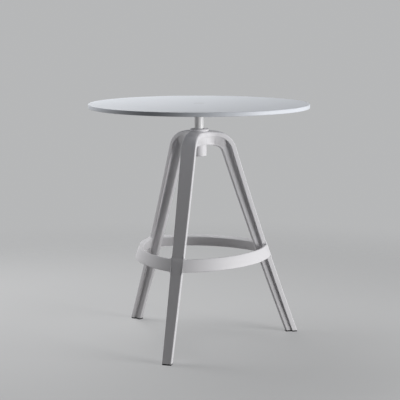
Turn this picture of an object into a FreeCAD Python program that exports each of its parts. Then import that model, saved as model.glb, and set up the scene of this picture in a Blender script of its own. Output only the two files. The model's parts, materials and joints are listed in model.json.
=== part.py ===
"""Round dining table: a disc top on a screw spindle, carried by three cast legs and a ring band.

The frame is millimetres with +Z up. The origin is on the floor, on the table's axis. The front leg points
along -Y. Every driving dimension is a cell of the sheet, and the pieces are bound to those cells.
"""
import FreeCAD
import Part
import math
import os

import Sketcher

# Driving dimensions, in millimetres and degrees
SIZES = {
    # Round top and its cap
    "top_diameter": 700.0,
    "top_height": 762.0,
    "top_thickness": 13.0,
    "top_edge_radius": 2.0,
    "cap_diameter": 36.0,
    "cap_depth": 4.0,
    "cap_bevel": 0.4,
    "centre_hole": 24.0,
    # Clearances
    "fit_gap": 0.05,
    "running_gap": 0.3,
    # Spindle
    "post_diameter": 28.6,
    "post_shoulder_height": 680.0,
    "thread_diameter": 26.0,
    "thread_depth": 2.2,
    "thread_pitch": 6.0,
    "thread_turns": 10.0,
    "journal_diameter": 18.0,
    "journal_top": 617.0,
    "journal_length": 9.6,
    "lift_travel": 36.0,
    # Flange under the top
    "flange_diameter": 150.0,
    "flange_thickness": 6.0,
    "flange_boss_top_diameter": 52.0,
    "flange_boss_end_diameter": 40.0,
    "flange_boss_depth": 22.0,
    "flange_screw_circle": 116.0,
    "flange_screw_count": 6.0,
    # Screws, inserts, bolts and pins
    "screw_diameter": 5.0,
    "screw_head_diameter": 9.0,
    "screw_head_height": 3.2,
    "insert_diameter": 8.0,
    "insert_length": 9.0,
    "bolt_diameter": 8.0,
    "bolt_head_diameter": 14.0,
    "bolt_head_height": 4.5,
    "bolt_length": 18.0,
    "pin_diameter": 5.0,
    "pin_below_flange": 16.0,
    "grub_diameter": 5.0,
    "grub_length": 8.0,
    # Sleeve, nut and boss in the hub
    "collar_diameter": 60.0,
    "collar_height": 10.0,
    "collar_edge_radius": 3.0,
    "collar_screw_circle": 49.0,
    "collar_screw_length": 26.0,
    "sleeve_diameter": 38.0,
    "chamber_diameter": 31.0,
    "nut_diameter": 33.0,
    "nut_length": 20.0,
    "washer_thickness": 3.0,
    "key_width": 4.0,
    "key_depth": 1.8,
    "boss_diameter": 48.0,
    "boss_height": 38.0,
    "boss_lip": 2.0,
    "boss_edge": 2.0,
    "plug_flange_thickness": 2.0,
    "plug_wall": 1.5,
    "stop_washer_diameter": 26.0,
    "stop_washer_thickness": 2.4,
    "stop_screw_length": 16.0,
    "stop_screw_head_height": 4.0,
    # Hub thirds
    "hub_top": 673.0,
    "hub_depth": 40.0,
    "core_inset": 2.0,
    "core_reach": 80.0,
    "crotch_radius": 70.0,
    "hub_dowel_diameter": 6.0,
    "hub_dowel_length": 20.0,
    "hub_dowel_reach": 27.0,
    "hub_dowel_height": 645.0,
    # Legs
    "plate_thickness": 16.0,
    "plate_width_top": 45.2,
    "plate_width_foot": 29.7,
    "taper_height": 608.0,
    "arch_reach": 50.0,
    "arch_radius": 70.0,
    "leg_lean": 17.5,
    "leg_curve_radius": 12040.0,
    "foot_depth": 37.5,
    "rib_width": 18.0,
    "rib_nose_radius": 8.0,
    "rib_root_rise": 1.5,
    "rib_bend_radius": 18.0,
    "rib_knee_reach": 65.0,
    # Glides
    "glide_height": 4.0,
    "glide_inset": 1.0,
    "glide_peg_diameter": 8.0,
    "glide_peg_length": 12.0,
    # Ring band
    "ring_top": 304.0,
    "ring_mid_reach": 191.0,
    "ring_curve_radius": 296.7,
    "ring_spread": 92.0,
    "ring_slant": 19.2,
    "ring_face": 41.0,
    "ring_inner_face": 34.0,
    "ring_thickness": 15.0,
    "ring_dowel_diameter": 6.0,
    "ring_dowel_inside": 12.0,
    "ring_dowel_outside": 12.0,
    "ring_dowel_height": 285.0,
    "ring_dowel_reach": 217.5,
    "grub_from_leg": 8.0,
}

# Turn of each leg's own +X axis about the table's axis
LEG_TURNS = {"front": -90.0, "right": 30.0, "left": 150.0}
# Turn of the middle of each ring length, halfway between two legs
RING_TURNS = {"front_right": -30.0, "back": 90.0, "front_left": 210.0}
# Angle from a leg to the joint between two hub thirds
HALF_STEP = 60.0
SIDES = {"left": 1, "right": -1}
# Cutting shapes reach this far past the piece that they cut
WIDE = 400.0
MARGIN = 10.0
# Share of a screw head's height that its hexagon recess leaves, and the recess's width in shank diameters
RECESS_FLOOR = 0.45
RECESS_WIDTH = 0.55
# Tolerance for finding an edge by its place
NEAR = 0.01

UP = FreeCAD.Vector(0, 0, 1)
ALONG_X = FreeCAD.Vector(1, 0, 0)
ALONG_Y = FreeCAD.Vector(0, 1, 0)
ORIGIN = FreeCAD.Vector(0, 0, 0)

doc = FreeCAD.newDocument("round_table")
sheet = doc.addObject("Spreadsheet::Sheet", "Sizes")
for row, (alias, amount) in enumerate(SIZES.items(), start=1):
    sheet.set(f"A{row}", alias)
    sheet.set(f"B{row}", str(amount))
    sheet.setAlias(f"B{row}", alias)
doc.recompute()


class Size:
    """A number that remembers the sheet expression it came from."""

    def __init__(self, value, text):
        self.value = value
        self.text = text

    def __add__(self, other):
        other = sized(other)
        return Size(self.value + other.value, f"({self.text} + {other.text})")

    def __sub__(self, other):
        other = sized(other)
        return Size(self.value - other.value, f"({self.text} - {other.text})")

    def __mul__(self, other):
        other = sized(other)
        return Size(self.value * other.value, f"({self.text} * {other.text})")

    def __truediv__(self, other):
        other = sized(other)
        return Size(self.value / other.value, f"({self.text} / {other.text})")

    def __neg__(self):
        return Size(-self.value, f"(0 - {self.text})")

    __radd__ = __add__
    __rmul__ = __mul__

    def __rsub__(self, other):
        return sized(other) - self


def sized(number):
    """A plain number as a Size; a Size stays as it is."""
    if isinstance(number, Size):
        return number
    amount = float(number)
    return Size(amount, f"{amount:.9g}" if amount >= 0 else f"(0 - {-amount:.9g})")


def cell(alias):
    """The Size of a sheet cell."""
    return Size(float(sheet.get(alias)), f"Sizes.{alias}")


def half(alias):
    """Half of a sheet cell, such as a radius from its diameter."""
    return cell(alias) / 2


def root(size):
    """Square root of a Size."""
    return Size(math.sqrt(size.value), f"sqrt({size.text})")


def sine(degrees):
    """Sine of an angle in degrees."""
    degrees = sized(degrees)
    return Size(math.sin(math.radians(degrees.value)), f"sin({degrees.text} * 1 deg)")


def cosine(degrees):
    """Cosine of an angle in degrees."""
    degrees = sized(degrees)
    return Size(math.cos(math.radians(degrees.value)), f"cos({degrees.text} * 1 deg)")


def turned_about(place, degrees):
    """A place of two or three sizes, turned about the origin in its first two."""
    x, y, *rest = place
    return (x * cosine(degrees) - y * sine(degrees), x * sine(degrees) + y * cosine(degrees), *rest)


def polar(reach, degrees):
    """A pair of sizes at a reach and an angle from X."""
    return turned_about((sized(reach), sized(0)), degrees)


def vector(place):
    """The point that three sizes stand for."""
    return FreeCAD.Vector(*(sized(size).value for size in place))


def bind(feature, **sizes):
    """Binds properties of a feature to sheet expressions."""
    for name, size in sizes.items():
        feature.setExpression(name, sized(size).text)


def new_body(name, turn=0.0):
    """An empty body whose label is the node's name, turned about the table's axis."""
    body = doc.addObject("PartDesign::Body", name)
    body.Label = name
    body.Placement = FreeCAD.Placement(ORIGIN, FreeCAD.Rotation(UP, turn))
    return body


def attach(feature, body, role, place, rotation=FreeCAD.Rotation()):
    """Attaches a feature to one of its body's origin planes, at a place of three sizes from it."""
    plane = next(item for item in body.Origin.OriginFeatures if item.Role == role)
    feature.AttachmentSupport = (plane, [""])
    feature.MapMode = "FlatFace"
    feature.AttachmentOffset = FreeCAD.Placement(vector(place), rotation)
    for axis, size in zip("xyz", place):
        feature.setExpression(f"AttachmentOffset.Base.{axis}", sized(size).text)


def sketch_on(body, role, name, lift=0.0):
    """A sketch on one of a body's origin planes, raised along the plane's normal."""
    sketch = body.newObject("Sketcher::SketchObject", f"{body.Name}_{name}")
    attach(sketch, body, role, (0, 0, lift))
    return sketch


def hold(sketch, geometry, point, place):
    """Fixes a sketch point at a pair of sizes, measured from the sketch's origin."""
    axes = (("DistanceX", -2), ("DistanceY", -1))
    for (kind, axis), size in zip(axes, place):
        size = sized(size)
        if size.value == 0:
            sketch.addConstraint(Sketcher.Constraint("PointOnObject", geometry, point, axis))
            continue
        ends = (-1, 1, geometry, point) if size.value > 0 else (geometry, point, -1, 1)
        text = size.text if size.value > 0 else (-size).text
        index = sketch.addConstraint(Sketcher.Constraint(kind, *ends, abs(size.value)))
        sketch.setExpression(f"Constraints[{index}]", text)


def arc_between(start, end, radius, bulge):
    """An arc from start to end. A bulge of 1 keeps its centre left of the way, and -1 right of it."""
    chord = end - start
    middle = (start + end) * 0.5
    across = FreeCAD.Vector(-chord.y, chord.x, 0).normalize()
    centre = middle + across * bulge * math.sqrt(radius ** 2 - (chord.Length / 2) ** 2)
    first, last = (start, end) if bulge > 0 else (end, start)
    angles = [math.atan2(point.y - centre.y, point.x - centre.x) for point in (first, last)]
    return Part.ArcOfCircle(Part.Circle(centre, UP, radius), *angles)


def outline(sketch, corners, arcs=None):
    """A closed outline through corners. arcs gives (radius, bulge) for the sides that are arcs."""
    arcs = arcs or {}
    points = [vector((x, y, 0)) for x, y in corners]
    sides = []
    for i, start in enumerate(points):
        end = points[(i + 1) % len(points)]
        if i in arcs:
            radius, bulge = arcs[i]
            index = sketch.addGeometry(arc_between(start, end, sized(radius).value, bulge))
            sides.append((index, 1, 2) if bulge > 0 else (index, 2, 1))
        else:
            sides.append((sketch.addGeometry(Part.LineSegment(start, end)), 1, 2))
    for i, corner in enumerate(corners):
        before = sides[i - 1]
        here = sides[i]
        sketch.addConstraint(Sketcher.Constraint("Coincident", before[0], before[2], here[0], here[1]))
        hold(sketch, here[0], here[1], corner)
    for i, (radius, _) in arcs.items():
        hold_radius(sketch, sides[i][0], radius)
    return sketch


def hold_radius(sketch, geometry, radius):
    """Binds the radius of a circle or an arc."""
    radius = sized(radius)
    index = sketch.addConstraint(Sketcher.Constraint("Radius", geometry, radius.value))
    sketch.setExpression(f"Constraints[{index}]", radius.text)


def circles(sketch, radius, centres=((0, 0),)):
    """Circles of one radius at the given centres."""
    for x, y in centres:
        index = sketch.addGeometry(Part.Circle(vector((x, y, 0)), UP, sized(radius).value))
        hold(sketch, index, 3, (x, y))
        hold_radius(sketch, index, radius)
    return sketch


def feature_on(body, kind, name, sketch):
    """A feature of a body made from a sketch."""
    feature = body.newObject(f"PartDesign::{kind}", f"{body.Name}_{name}")
    feature.Profile = sketch
    return feature


def pad(body, name, sketch, length, both_ways=False):
    """A sketch carried along its normal."""
    feature = feature_on(body, "Pad", name, sketch)
    feature.SideType = "Symmetric" if both_ways else "One side"
    bind(feature, Length=length)


def checked_cut(feature, body, before):
    """Stops if a cutting feature takes no material away."""
    doc.recompute()
    if not feature.Shape.Volume < before:
        raise RuntimeError(f"{feature.Name} of {body.Label} removes nothing")


def volume_of(body):
    """A body's volume as it stands."""
    doc.recompute()
    return body.Shape.Volume


def pocket(body, name, sketch, length=None):
    """A sketch cut upwards by a length, or both ways through everything where none is given."""
    before = volume_of(body)
    feature = feature_on(body, "Pocket", name, sketch)
    if length is None:
        feature.Type = "ThroughAll"
        feature.SideType = "Symmetric"
    else:
        bind(feature, Length=length)
        feature.Reversed = True
    checked_cut(feature, body, before)


def drill(body, name, diameter, depth, place, direction):
    """A round hole from a place of three sizes along a direction, both in the body's own frame."""
    before = volume_of(body)
    feature = body.newObject("PartDesign::SubtractiveCylinder", f"{body.Name}_{name}")
    attach(feature, body, "XY_Plane", place, FreeCAD.Rotation(UP, direction))
    bind(feature, Radius=sized(diameter) / 2, Height=depth)
    checked_cut(feature, body, before)


def turned(name, corners, arcs=None):
    """A body turned about the table's axis from a half section of (radius, height) corners."""
    body = new_body(name)
    sketch = outline(sketch_on(body, "XZ_Plane", "section"), corners, arcs)
    feature = feature_on(body, "Revolution", "turn", sketch)
    feature.ReferenceAxis = (sketch, ["V_Axis"])
    feature.Angle = 360
    return body


def ring_of(name, inner, outer, low, high):
    """A plain ring about the table's axis."""
    return turned(name, [(inner, low), (outer, low), (outer, high), (inner, high)])


def group(name, solids):
    """A node that holds one or more separate solids."""
    feature = doc.addObject("Part::Feature", name)
    feature.Label = name
    feature.Shape = Part.makeCompound(solids)


def placed(shape, at, direction=UP):
    """A copy of a shape with its own +Z along a direction."""
    copy = shape.copy()
    copy.Placement = FreeCAD.Placement(at, FreeCAD.Rotation(UP, direction))
    return copy


def around(shape, reach, turns):
    """Copies of one shape, moved out along X and then turned about the table's axis."""
    copies = []
    for turn in turns:
        spin = FreeCAD.Rotation(UP, turn)
        copy = shape.copy()
        copy.Placement = FreeCAD.Placement(spin.multVec(ALONG_X * reach), spin).multiply(shape.Placement)
        copies.append(copy)
    return copies


def rod(diameter, length, at=ORIGIN, direction=UP):
    """A plain round solid."""
    return Part.makeCylinder(diameter / 2, length, at, direction)


# Heights, radii and gaps that several pieces share
fit = cell("fit_gap")
snug = fit * 2
gap = cell("running_gap")
hub_top = cell("hub_top")
hub_base = hub_top - cell("hub_depth")
collar_top = hub_top + cell("collar_height")
boss_base = hub_base - cell("boss_height")
boss_grub_height = hub_base - half("boss_height")
lip_top = boss_base + cell("boss_lip")
sleeve_base = lip_top + cell("plug_flange_thickness")
top_under = cell("top_height") - cell("top_thickness")
flange_under = top_under - cell("flange_thickness")
pin_height = flange_under - cell("pin_below_flange")
nut_top = cell("post_shoulder_height") - cell("washer_thickness")
nut_base = nut_top - cell("nut_length")
journal_base = cell("journal_top") - cell("journal_length")
glide_top = cell("glide_height")

# Leg curve: level at the hub, round the arch, then a long slow curve out to the foot
lean_across = cosine(cell("leg_lean"))
lean_up = sine(cell("leg_lean"))
arch_centre = (cell("arch_reach"), hub_top - cell("arch_radius"))
leg_sweep = cell("arch_radius") + cell("leg_curve_radius")
leg_centre = (arch_centre[0] + leg_sweep * lean_across, arch_centre[1] + leg_sweep * lean_up)


def leg_curve(depth=0.0):
    """The leg curve moved inwards by a depth: arch radius and end, then long radius and foot point."""
    arch = cell("arch_radius") - depth
    arch_end = (arch_centre[0] + arch * lean_across, arch_centre[1] + arch * lean_up)
    radius = cell("leg_curve_radius") + depth
    drop = leg_centre[1] - glide_top
    foot = (leg_centre[0] - root(radius * radius - drop * drop), glide_top)
    return arch, arch_end, radius, foot


def plate_half_width(height):
    """Half the width of a leg's plate at a height below the taper's end."""
    rise = (cell("plate_width_top") - cell("plate_width_foot")) / (cell("taper_height") - glide_top)
    return (cell("plate_width_foot") + rise * (height - glide_top)) / 2


foot_reach = leg_curve()[3][0]
foot_middle = (foot_reach - half("foot_depth"), sized(0), glide_top)
ring_set_back = cell("ring_curve_radius") - cell("ring_mid_reach")
dowel_half_width = plate_half_width(cell("ring_dowel_height"))


def make_leg(name, turn):
    """One cast leg with its third of the hub, modelled along its own +X axis."""
    body = new_body(name, turn)
    add_plate(body)
    cut_taper(body)
    cut_plan(body)
    add_rib(body)
    add_core(body)
    bore = circles(sketch_on(body, "XY_Plane", "bore_plan"), half("sleeve_diameter") + fit)
    pocket(body, "bore", bore)
    drill_leg(body)


def add_plate(body):
    """The outer plate: a thick strip that follows the leg curve."""
    plate = cell("plate_thickness")
    arch, arch_end, radius, foot = leg_curve()
    inner_arch, inner_end, inner_radius, inner_foot = leg_curve(plate)
    corners = [
        (0, hub_top), (arch_centre[0], hub_top), arch_end, foot,
        inner_foot, inner_end, (arch_centre[0], hub_top - plate), (0, hub_top - plate),
    ]
    arcs = {1: (arch, -1), 2: (radius, 1), 4: (inner_radius, -1), 5: (inner_arch, 1)}
    side = outline(sketch_on(body, "XZ_Plane", "plate_side"), corners, arcs)
    pad(body, "plate", side, cell("plate_width_top") + cell("crotch_radius") * 2, both_ways=True)


def cut_taper(body):
    """Narrows the plate towards the foot, seen from the front."""
    wide = half("plate_width_top")
    narrow = half("plate_width_foot")
    taper_top = cell("taper_height")
    for label, sign in SIDES.items():
        corners = [
            (narrow * sign, glide_top), (wide * sign, taper_top),
            (WIDE * sign, taper_top), (WIDE * sign, glide_top),
        ]
        pocket(body, f"taper_cut_{label}", outline(sketch_on(body, "YZ_Plane", f"taper_{label}"), corners))


def crotch_plan(inset=0.0):
    """The round crotch between two legs: its radius, and its ends at the joint and at the leg's side."""
    wide = half("plate_width_top")
    reach = (wide + cell("crotch_radius")) / sine(HALF_STEP)
    radius = cell("crotch_radius") + inset
    return radius, polar(reach - radius, HALF_STEP), (reach * cosine(HALF_STEP), wide - inset)


def cut_plan(body):
    """Cuts the plate to its third of the hub, with joints to the neighbours and round crotches."""
    radius, joint, tangent = crotch_plan()
    for label, sign in SIDES.items():
        corners = [
            (-MARGIN, 0), (0, 0), (joint[0], joint[1] * sign), (tangent[0], tangent[1] * sign),
            (WIDE, tangent[1] * sign), (WIDE, WIDE * sign), (-MARGIN, WIDE * sign),
        ]
        plan = outline(sketch_on(body, "XY_Plane", f"plan_{label}"), corners, {2: (radius, -sign)})
        pocket(body, f"plan_cut_{label}", plan)


def add_rib(body):
    """The rib behind the plate: straight down the leg, with a bend up into the hub and a rounded nose."""
    arch, arch_end, radius, foot = leg_curve(half("plate_thickness"))
    nose_foot = (foot_reach - cell("foot_depth"), glide_top)
    base = hub_base + cell("rib_root_rise")
    knee = (cell("rib_knee_reach"), base)
    run = nose_foot[0] - knee[0]
    fall = knee[1] - nose_foot[1]
    length = root(run * run + fall * fall)
    # Distance from the knee to where the bend meets both of its straight sides
    set_back = cell("rib_bend_radius") * (length - run) / fall
    bend_end = (knee[0] + set_back * run / length, knee[1] - set_back * fall / length)
    middle = hub_top - half("plate_thickness")
    corners = [
        (MARGIN, base), (knee[0] - set_back, base), bend_end, nose_foot,
        foot, arch_end, (arch_centre[0], middle), (MARGIN, middle),
    ]
    arcs = {1: (cell("rib_bend_radius"), -1), 4: (radius, -1), 5: (arch, 1)}
    side = outline(sketch_on(body, "XZ_Plane", "rib_side"), corners, arcs)
    pad(body, "rib", side, cell("rib_width"), both_ways=True)
    round_rib_nose(body, nose_foot, bend_end)


def round_rib_nose(body, nose_foot, bend_end):
    """Rounds the two long edges of the rib's nose, found by the line that they run along."""
    doc.recompute()
    rib = body.Tip
    start = vector((nose_foot[0], half("rib_width"), nose_foot[1]))
    end = vector((bend_end[0], half("rib_width"), bend_end[1]))
    line = Part.makeLine(start, end)
    names = []
    for index, edge in enumerate(rib.Shape.Edges, start=1):
        middle = edge.valueAt((edge.FirstParameter + edge.LastParameter) / 2)
        middle.y = abs(middle.y)
        on_nose = line.distToShape(Part.Vertex(middle))[0] < NEAR
        if on_nose and abs(edge.Length - line.Length) < NEAR:
            names.append(f"Edge{index}")
    feature = body.newObject("PartDesign::Fillet", f"{body.Name}_nose")
    feature.Base = (rib, names)
    bind(feature, Radius=cell("rib_nose_radius"))


def add_core(body):
    """Hub core under the plates, set in a little from their edges."""
    radius, joint, tangent = crotch_plan(cell("core_inset"))
    reach = cell("core_reach")
    corners = [
        (0, 0), (joint[0], -joint[1]), (tangent[0], -tangent[1]), (reach, -tangent[1]),
        (reach, tangent[1]), tangent, joint,
    ]
    plan = sketch_on(body, "XY_Plane", "core_plan", hub_base)
    outline(plan, corners, {1: (radius, -1), 5: (radius, -1)})
    pad(body, "core", plan, cell("hub_depth") - half("plate_thickness"))


def drill_leg(body):
    """Holes for the ring's dowels, the hub's dowels, the collar's screw and the glide's peg."""
    for label, sign in SIDES.items():
        place = (cell("ring_dowel_reach"), (dowel_half_width + MARGIN) * sign, cell("ring_dowel_height"))
        depth = cell("ring_dowel_inside") + fit + MARGIN
        drill(body, f"ring_hole_{label}", cell("ring_dowel_diameter") + snug, depth, place, ALONG_Y * -sign)
        joint = (cell("hub_dowel_reach"), sized(MARGIN * sign), cell("hub_dowel_height"))
        place = turned_about(joint, HALF_STEP * sign)
        inward = FreeCAD.Rotation(UP, HALF_STEP * sign).multVec(ALONG_Y * -sign)
        depth = half("hub_dowel_length") + fit + MARGIN
        drill(body, f"hub_hole_{label}", cell("hub_dowel_diameter") + snug, depth, place, inward)
    depth = cell("collar_screw_length") - cell("collar_height") + fit
    place = (half("collar_screw_circle"), 0, hub_top)
    drill(body, "collar_screw_hole", cell("screw_diameter") + snug, depth, place, -UP)
    depth = cell("glide_peg_length") + fit
    drill(body, "peg_hole", cell("glide_peg_diameter") + snug, depth, foot_middle, UP)


def make_glide(name, turn):
    """A black pad of the foot's own T outline, with a peg up into the leg."""
    body = new_body(name, turn)
    inset = cell("glide_inset")
    outer = foot_reach - inset
    step = leg_curve(cell("plate_thickness"))[3][0] + inset
    inner = foot_reach - cell("foot_depth") + inset
    wide = half("plate_width_foot") - inset
    slim = half("rib_width") - inset
    corners = [
        (outer, -wide), (outer, wide), (step, wide), (step, slim),
        (inner, slim), (inner, -slim), (step, -slim), (step, -wide),
    ]
    pad(body, "pad", outline(sketch_on(body, "XY_Plane", "plan"), corners), glide_top)
    peg = circles(sketch_on(body, "XY_Plane", "peg_plan"), half("glide_peg_diameter"), [foot_middle[:2]])
    pad(body, "peg", peg, glide_top + cell("glide_peg_length"))


def make_ring(name, turn):
    """One length of the ring band, turned about its own upright axis and cut to the legs' sides."""
    body = new_body(name, turn)
    body.Placement.Base = FreeCAD.Rotation(UP, turn).multVec(ALONG_X * -ring_set_back.value)
    face = cell("ring_face")
    step = (face - cell("ring_inner_face")) / 2
    thick = cell("ring_thickness")
    inner = [ring_corner(step, thick), ring_corner(face - step, thick)]
    corners = [ring_corner(0, 0), *inner, ring_corner(face, 0)]
    section = outline(sketch_on(body, "XZ_Plane", "section"), corners)
    band = feature_on(body, "Revolution", "band", section)
    band.ReferenceAxis = (section, ["V_Axis"])
    band.Midplane = True
    bind(band, Angle=cell("ring_spread"))
    for label, sign in SIDES.items():
        trim_ring(body, label, sign)
        drill_ring(body, label, sign)


def ring_corner(along, deep):
    """A corner of the band's section, so far down its sloping face and so deep into its thickness."""
    lean = cell("ring_slant")
    radius = cell("ring_curve_radius") + along * sine(lean) - deep * cosine(lean)
    return radius, cell("ring_top") - along * cosine(lean) - deep * sine(lean)


def from_leg(place, sign):
    """A place in the own frame of the leg at one end of a ring length, as a place in the length's frame."""
    x, y, z = turned_about(place, HALF_STEP * sign)
    return x + ring_set_back, y, z


def trim_ring(body, label, sign):
    """Cuts the band off where it meets the side face of a leg's plate."""
    before = volume_of(body)
    narrow = half("plate_width_foot")
    flare = (half("plate_width_top") - narrow) / (cell("taper_height") - glide_top)
    # The box stands on the leg's side of that face, which leans by the plate's flare
    lean = math.degrees(math.atan(flare.value))
    about = 0.0 if sign > 0 else 180.0
    tilt = FreeCAD.Rotation(UP, HALF_STEP * sign + about).multiply(FreeCAD.Rotation(ALONG_X, lean))
    start = sized(0.0 if sign > 0 else WIDE)
    cut = body.newObject("PartDesign::SubtractiveBox", f"{body.Name}_trim_{label}")
    attach(cut, body, "XY_Plane", from_leg((start, narrow * -sign, glide_top), sign), tilt)
    bind(cut, Length=WIDE, Width=WIDE / 4, Height=WIDE)
    checked_cut(cut, body, before)


def dowel_start(sign):
    """Inner end of a ring dowel on one side of a leg, in the leg's own frame."""
    across = (dowel_half_width - cell("ring_dowel_inside")) * sign
    return cell("ring_dowel_reach"), across, cell("ring_dowel_height")


def grub_start(sign):
    """Upper end of the set screw under a ring dowel, in the leg's own frame."""
    below = half("ring_dowel_diameter") + snug
    across = (dowel_half_width + cell("grub_from_leg")) * sign
    return cell("ring_dowel_reach"), across, cell("ring_dowel_height") - below


def drill_ring(body, label, sign):
    """Holes at one end of a ring length for its dowel and its set screw."""
    way = FreeCAD.Rotation(UP, HALF_STEP * sign).multVec(ALONG_Y * -sign)
    depth = cell("ring_dowel_inside") + cell("ring_dowel_outside") + fit
    start = from_leg(dowel_start(-sign), sign)
    drill(body, f"dowel_hole_{label}", cell("ring_dowel_diameter") + snug, depth, start, way)
    start = from_leg(grub_start(-sign), sign)
    drill(body, f"grub_hole_{label}", cell("grub_diameter") + snug, cell("ring_face"), start, -UP)


def screw_turns():
    """Turns of the screws between the flange and the top."""
    count = int(SIZES["flange_screw_count"])
    return [360.0 * i / count for i in range(count)]


def screw_centres():
    """Centres of the screws between the flange and the top, seen in plan."""
    return [polar(half("flange_screw_circle"), turn) for turn in screw_turns()]


def make_top():
    """Round top with softened edges, a centre hole and blind holes for the inserts."""
    rim = half("top_diameter")
    soft = cell("top_edge_radius")
    top = cell("top_height")
    seat = top - cell("cap_depth")
    hole = half("centre_hole")
    cap = half("cap_diameter") + fit
    corners = [
        (hole, top_under), (rim - soft, top_under), (rim, top_under + soft), (rim, top - soft),
        (rim - soft, top), (cap, top), (cap, seat), (hole, seat),
    ]
    body = turned("tabletop", corners, {1: (soft, 1), 3: (soft, 1)})
    plan = sketch_on(body, "XY_Plane", "insert_plan", top_under)
    circles(plan, half("insert_diameter") + fit, screw_centres())
    pocket(body, "insert_holes", plan, cell("insert_length") + fit)


def make_cap():
    """Flush disc over the bolt in the middle of the top."""
    top = cell("top_height")
    seat = top - cell("cap_depth")
    rim = half("cap_diameter")
    bevel = cell("cap_bevel")
    turned("centre_cap", [(0, seat), (rim, seat), (rim, top - bevel), (rim - bevel, top), (0, top)])


def make_flange():
    """Cast flange under the top: a disc with a conical boss that takes the post's end."""
    disc = half("flange_diameter")
    bolt = half("bolt_diameter") + fit
    post = half("post_diameter") + fit
    boss_end = flange_under - cell("flange_boss_depth")
    corners = [
        (bolt, top_under), (disc, top_under), (disc, flange_under),
        (half("flange_boss_top_diameter"), flange_under), (half("flange_boss_end_diameter"), boss_end),
        (post, boss_end), (post, flange_under), (bolt, flange_under),
    ]
    body = turned("top_flange", corners)
    plan = sketch_on(body, "XY_Plane", "screw_plan", top_under)
    pocket(body, "screw_holes", circles(plan, half("screw_diameter") + fit, screw_centres()))
    drill_pin_hole(body)


def drill_pin_hole(body):
    """The cross pin's hole, right through from front to back."""
    place = (0, -half("flange_diameter"), pin_height)
    drill(body, "pin_hole", cell("pin_diameter") + snug, cell("flange_diameter"), place, ALONG_Y)


def make_spindle():
    """The post: a smooth shank with a shoulder, a screw thread and a journal at the lower end."""
    post = half("post_diameter")
    thread = half("thread_diameter")
    journal = half("journal_diameter")
    shoulder = cell("post_shoulder_height")
    end = cell("journal_top")
    corners = [
        (0, journal_base), (journal, journal_base), (journal, end), (thread, end),
        (thread, shoulder), (post, shoulder), (post, flange_under), (0, flange_under),
    ]
    body = turned("spindle", corners)
    cut_thread(body)
    depth = cell("bolt_length") - cell("flange_thickness") + fit
    drill(body, "bolt_hole", cell("bolt_diameter") + snug, depth, (0, 0, flange_under), -UP)
    drill_pin_hole(body)
    depth = cell("stop_screw_length") - cell("stop_washer_thickness") + fit
    drill(body, "stop_hole", cell("bolt_diameter") + snug, depth, (0, 0, journal_base), UP)


def cut_thread(body):
    """A right-hand trapezoid groove wound up the spindle from just under the thread's end."""
    before = volume_of(body)
    pitch = cell("thread_pitch")
    root_half = pitch / 8
    mouth_half = root_half * 2.5
    floor = half("thread_diameter") - cell("thread_depth")
    mouth = half("thread_diameter") + cell("thread_depth") / 4
    middle = cell("journal_top") - pitch / 2
    corners = [
        (floor, middle - root_half), (mouth, middle - mouth_half), (mouth, middle + mouth_half),
        (floor, middle + root_half),
    ]
    groove = outline(sketch_on(body, "XZ_Plane", "groove"), corners)
    helix = feature_on(body, "SubtractiveHelix", "thread", groove)
    helix.ReferenceAxis = (groove, ["V_Axis"])
    helix.Mode = "pitch-turns-angle"
    bind(helix, Pitch=pitch, Turns=cell("thread_turns"))
    checked_cut(helix, body, before)


def make_sleeve():
    """Sleeve through the hub. Its flange is the collar, and its bore holds the nut and guides the bush."""
    barrel = half("sleeve_diameter")
    collar = half("collar_diameter")
    chamber = half("chamber_diameter")
    seat = half("nut_diameter") + fit
    soft = cell("collar_edge_radius")
    corners = [
        (chamber, sleeve_base), (barrel, sleeve_base), (barrel, hub_top), (collar - soft / 2, hub_top),
        (collar, hub_top + soft / 2), (collar, collar_top - soft), (collar - soft, collar_top),
        (seat, collar_top), (seat, nut_base), (chamber, nut_base),
    ]
    body = turned("hub_sleeve", corners, {3: (soft / 2, 1), 5: (soft, 1)})
    deep = chamber + cell("key_depth")
    wide = half("key_width")
    plan = sketch_on(body, "XY_Plane", "key_plan", sleeve_base)
    outline(plan, [(0, -wide), (deep, -wide), (deep, wide), (0, wide)])
    pocket(body, "keyway", plan, nut_base - sleeve_base)
    for name, turn in LEG_TURNS.items():
        place = (*polar(half("collar_screw_circle"), turn), collar_top)
        depth = cell("collar_height") + MARGIN
        drill(body, f"screw_hole_{name}", cell("screw_diameter") + snug, depth, place, -UP)
        depth = cell("screw_head_height")
        drill(body, f"head_hole_{name}", cell("screw_head_diameter") + snug, depth, place, -UP)


def make_boss():
    """Round clamp nut under the hub, with a lip that holds the end plug."""
    outer = half("boss_diameter")
    bore = half("sleeve_diameter") + fit
    mouth = half("chamber_diameter")
    edge = cell("boss_edge")
    corners = [
        (mouth, boss_base), (outer - edge, boss_base), (outer, boss_base + edge), (outer, hub_base),
        (bore, hub_base), (bore, lip_top), (mouth, lip_top),
    ]
    body = turned("boss_nut", corners, {1: (edge, 1)})
    place = (0, outer, boss_grub_height)
    drill(body, "grub_hole", cell("grub_diameter") + snug, outer, place, -ALONG_Y)


def make_plug():
    """Cap that closes the boss from below, held by its rim between the boss's lip and the sleeve."""
    mouth = half("chamber_diameter") - fit
    rim = half("sleeve_diameter")
    wall = cell("plug_wall")
    turned("end_plug", [
        (0, boss_base), (mouth, boss_base), (mouth, lip_top), (rim, lip_top), (rim, sleeve_base),
        (mouth - wall, sleeve_base), (mouth - wall, boss_base + wall), (0, boss_base + wall),
    ])


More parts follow.
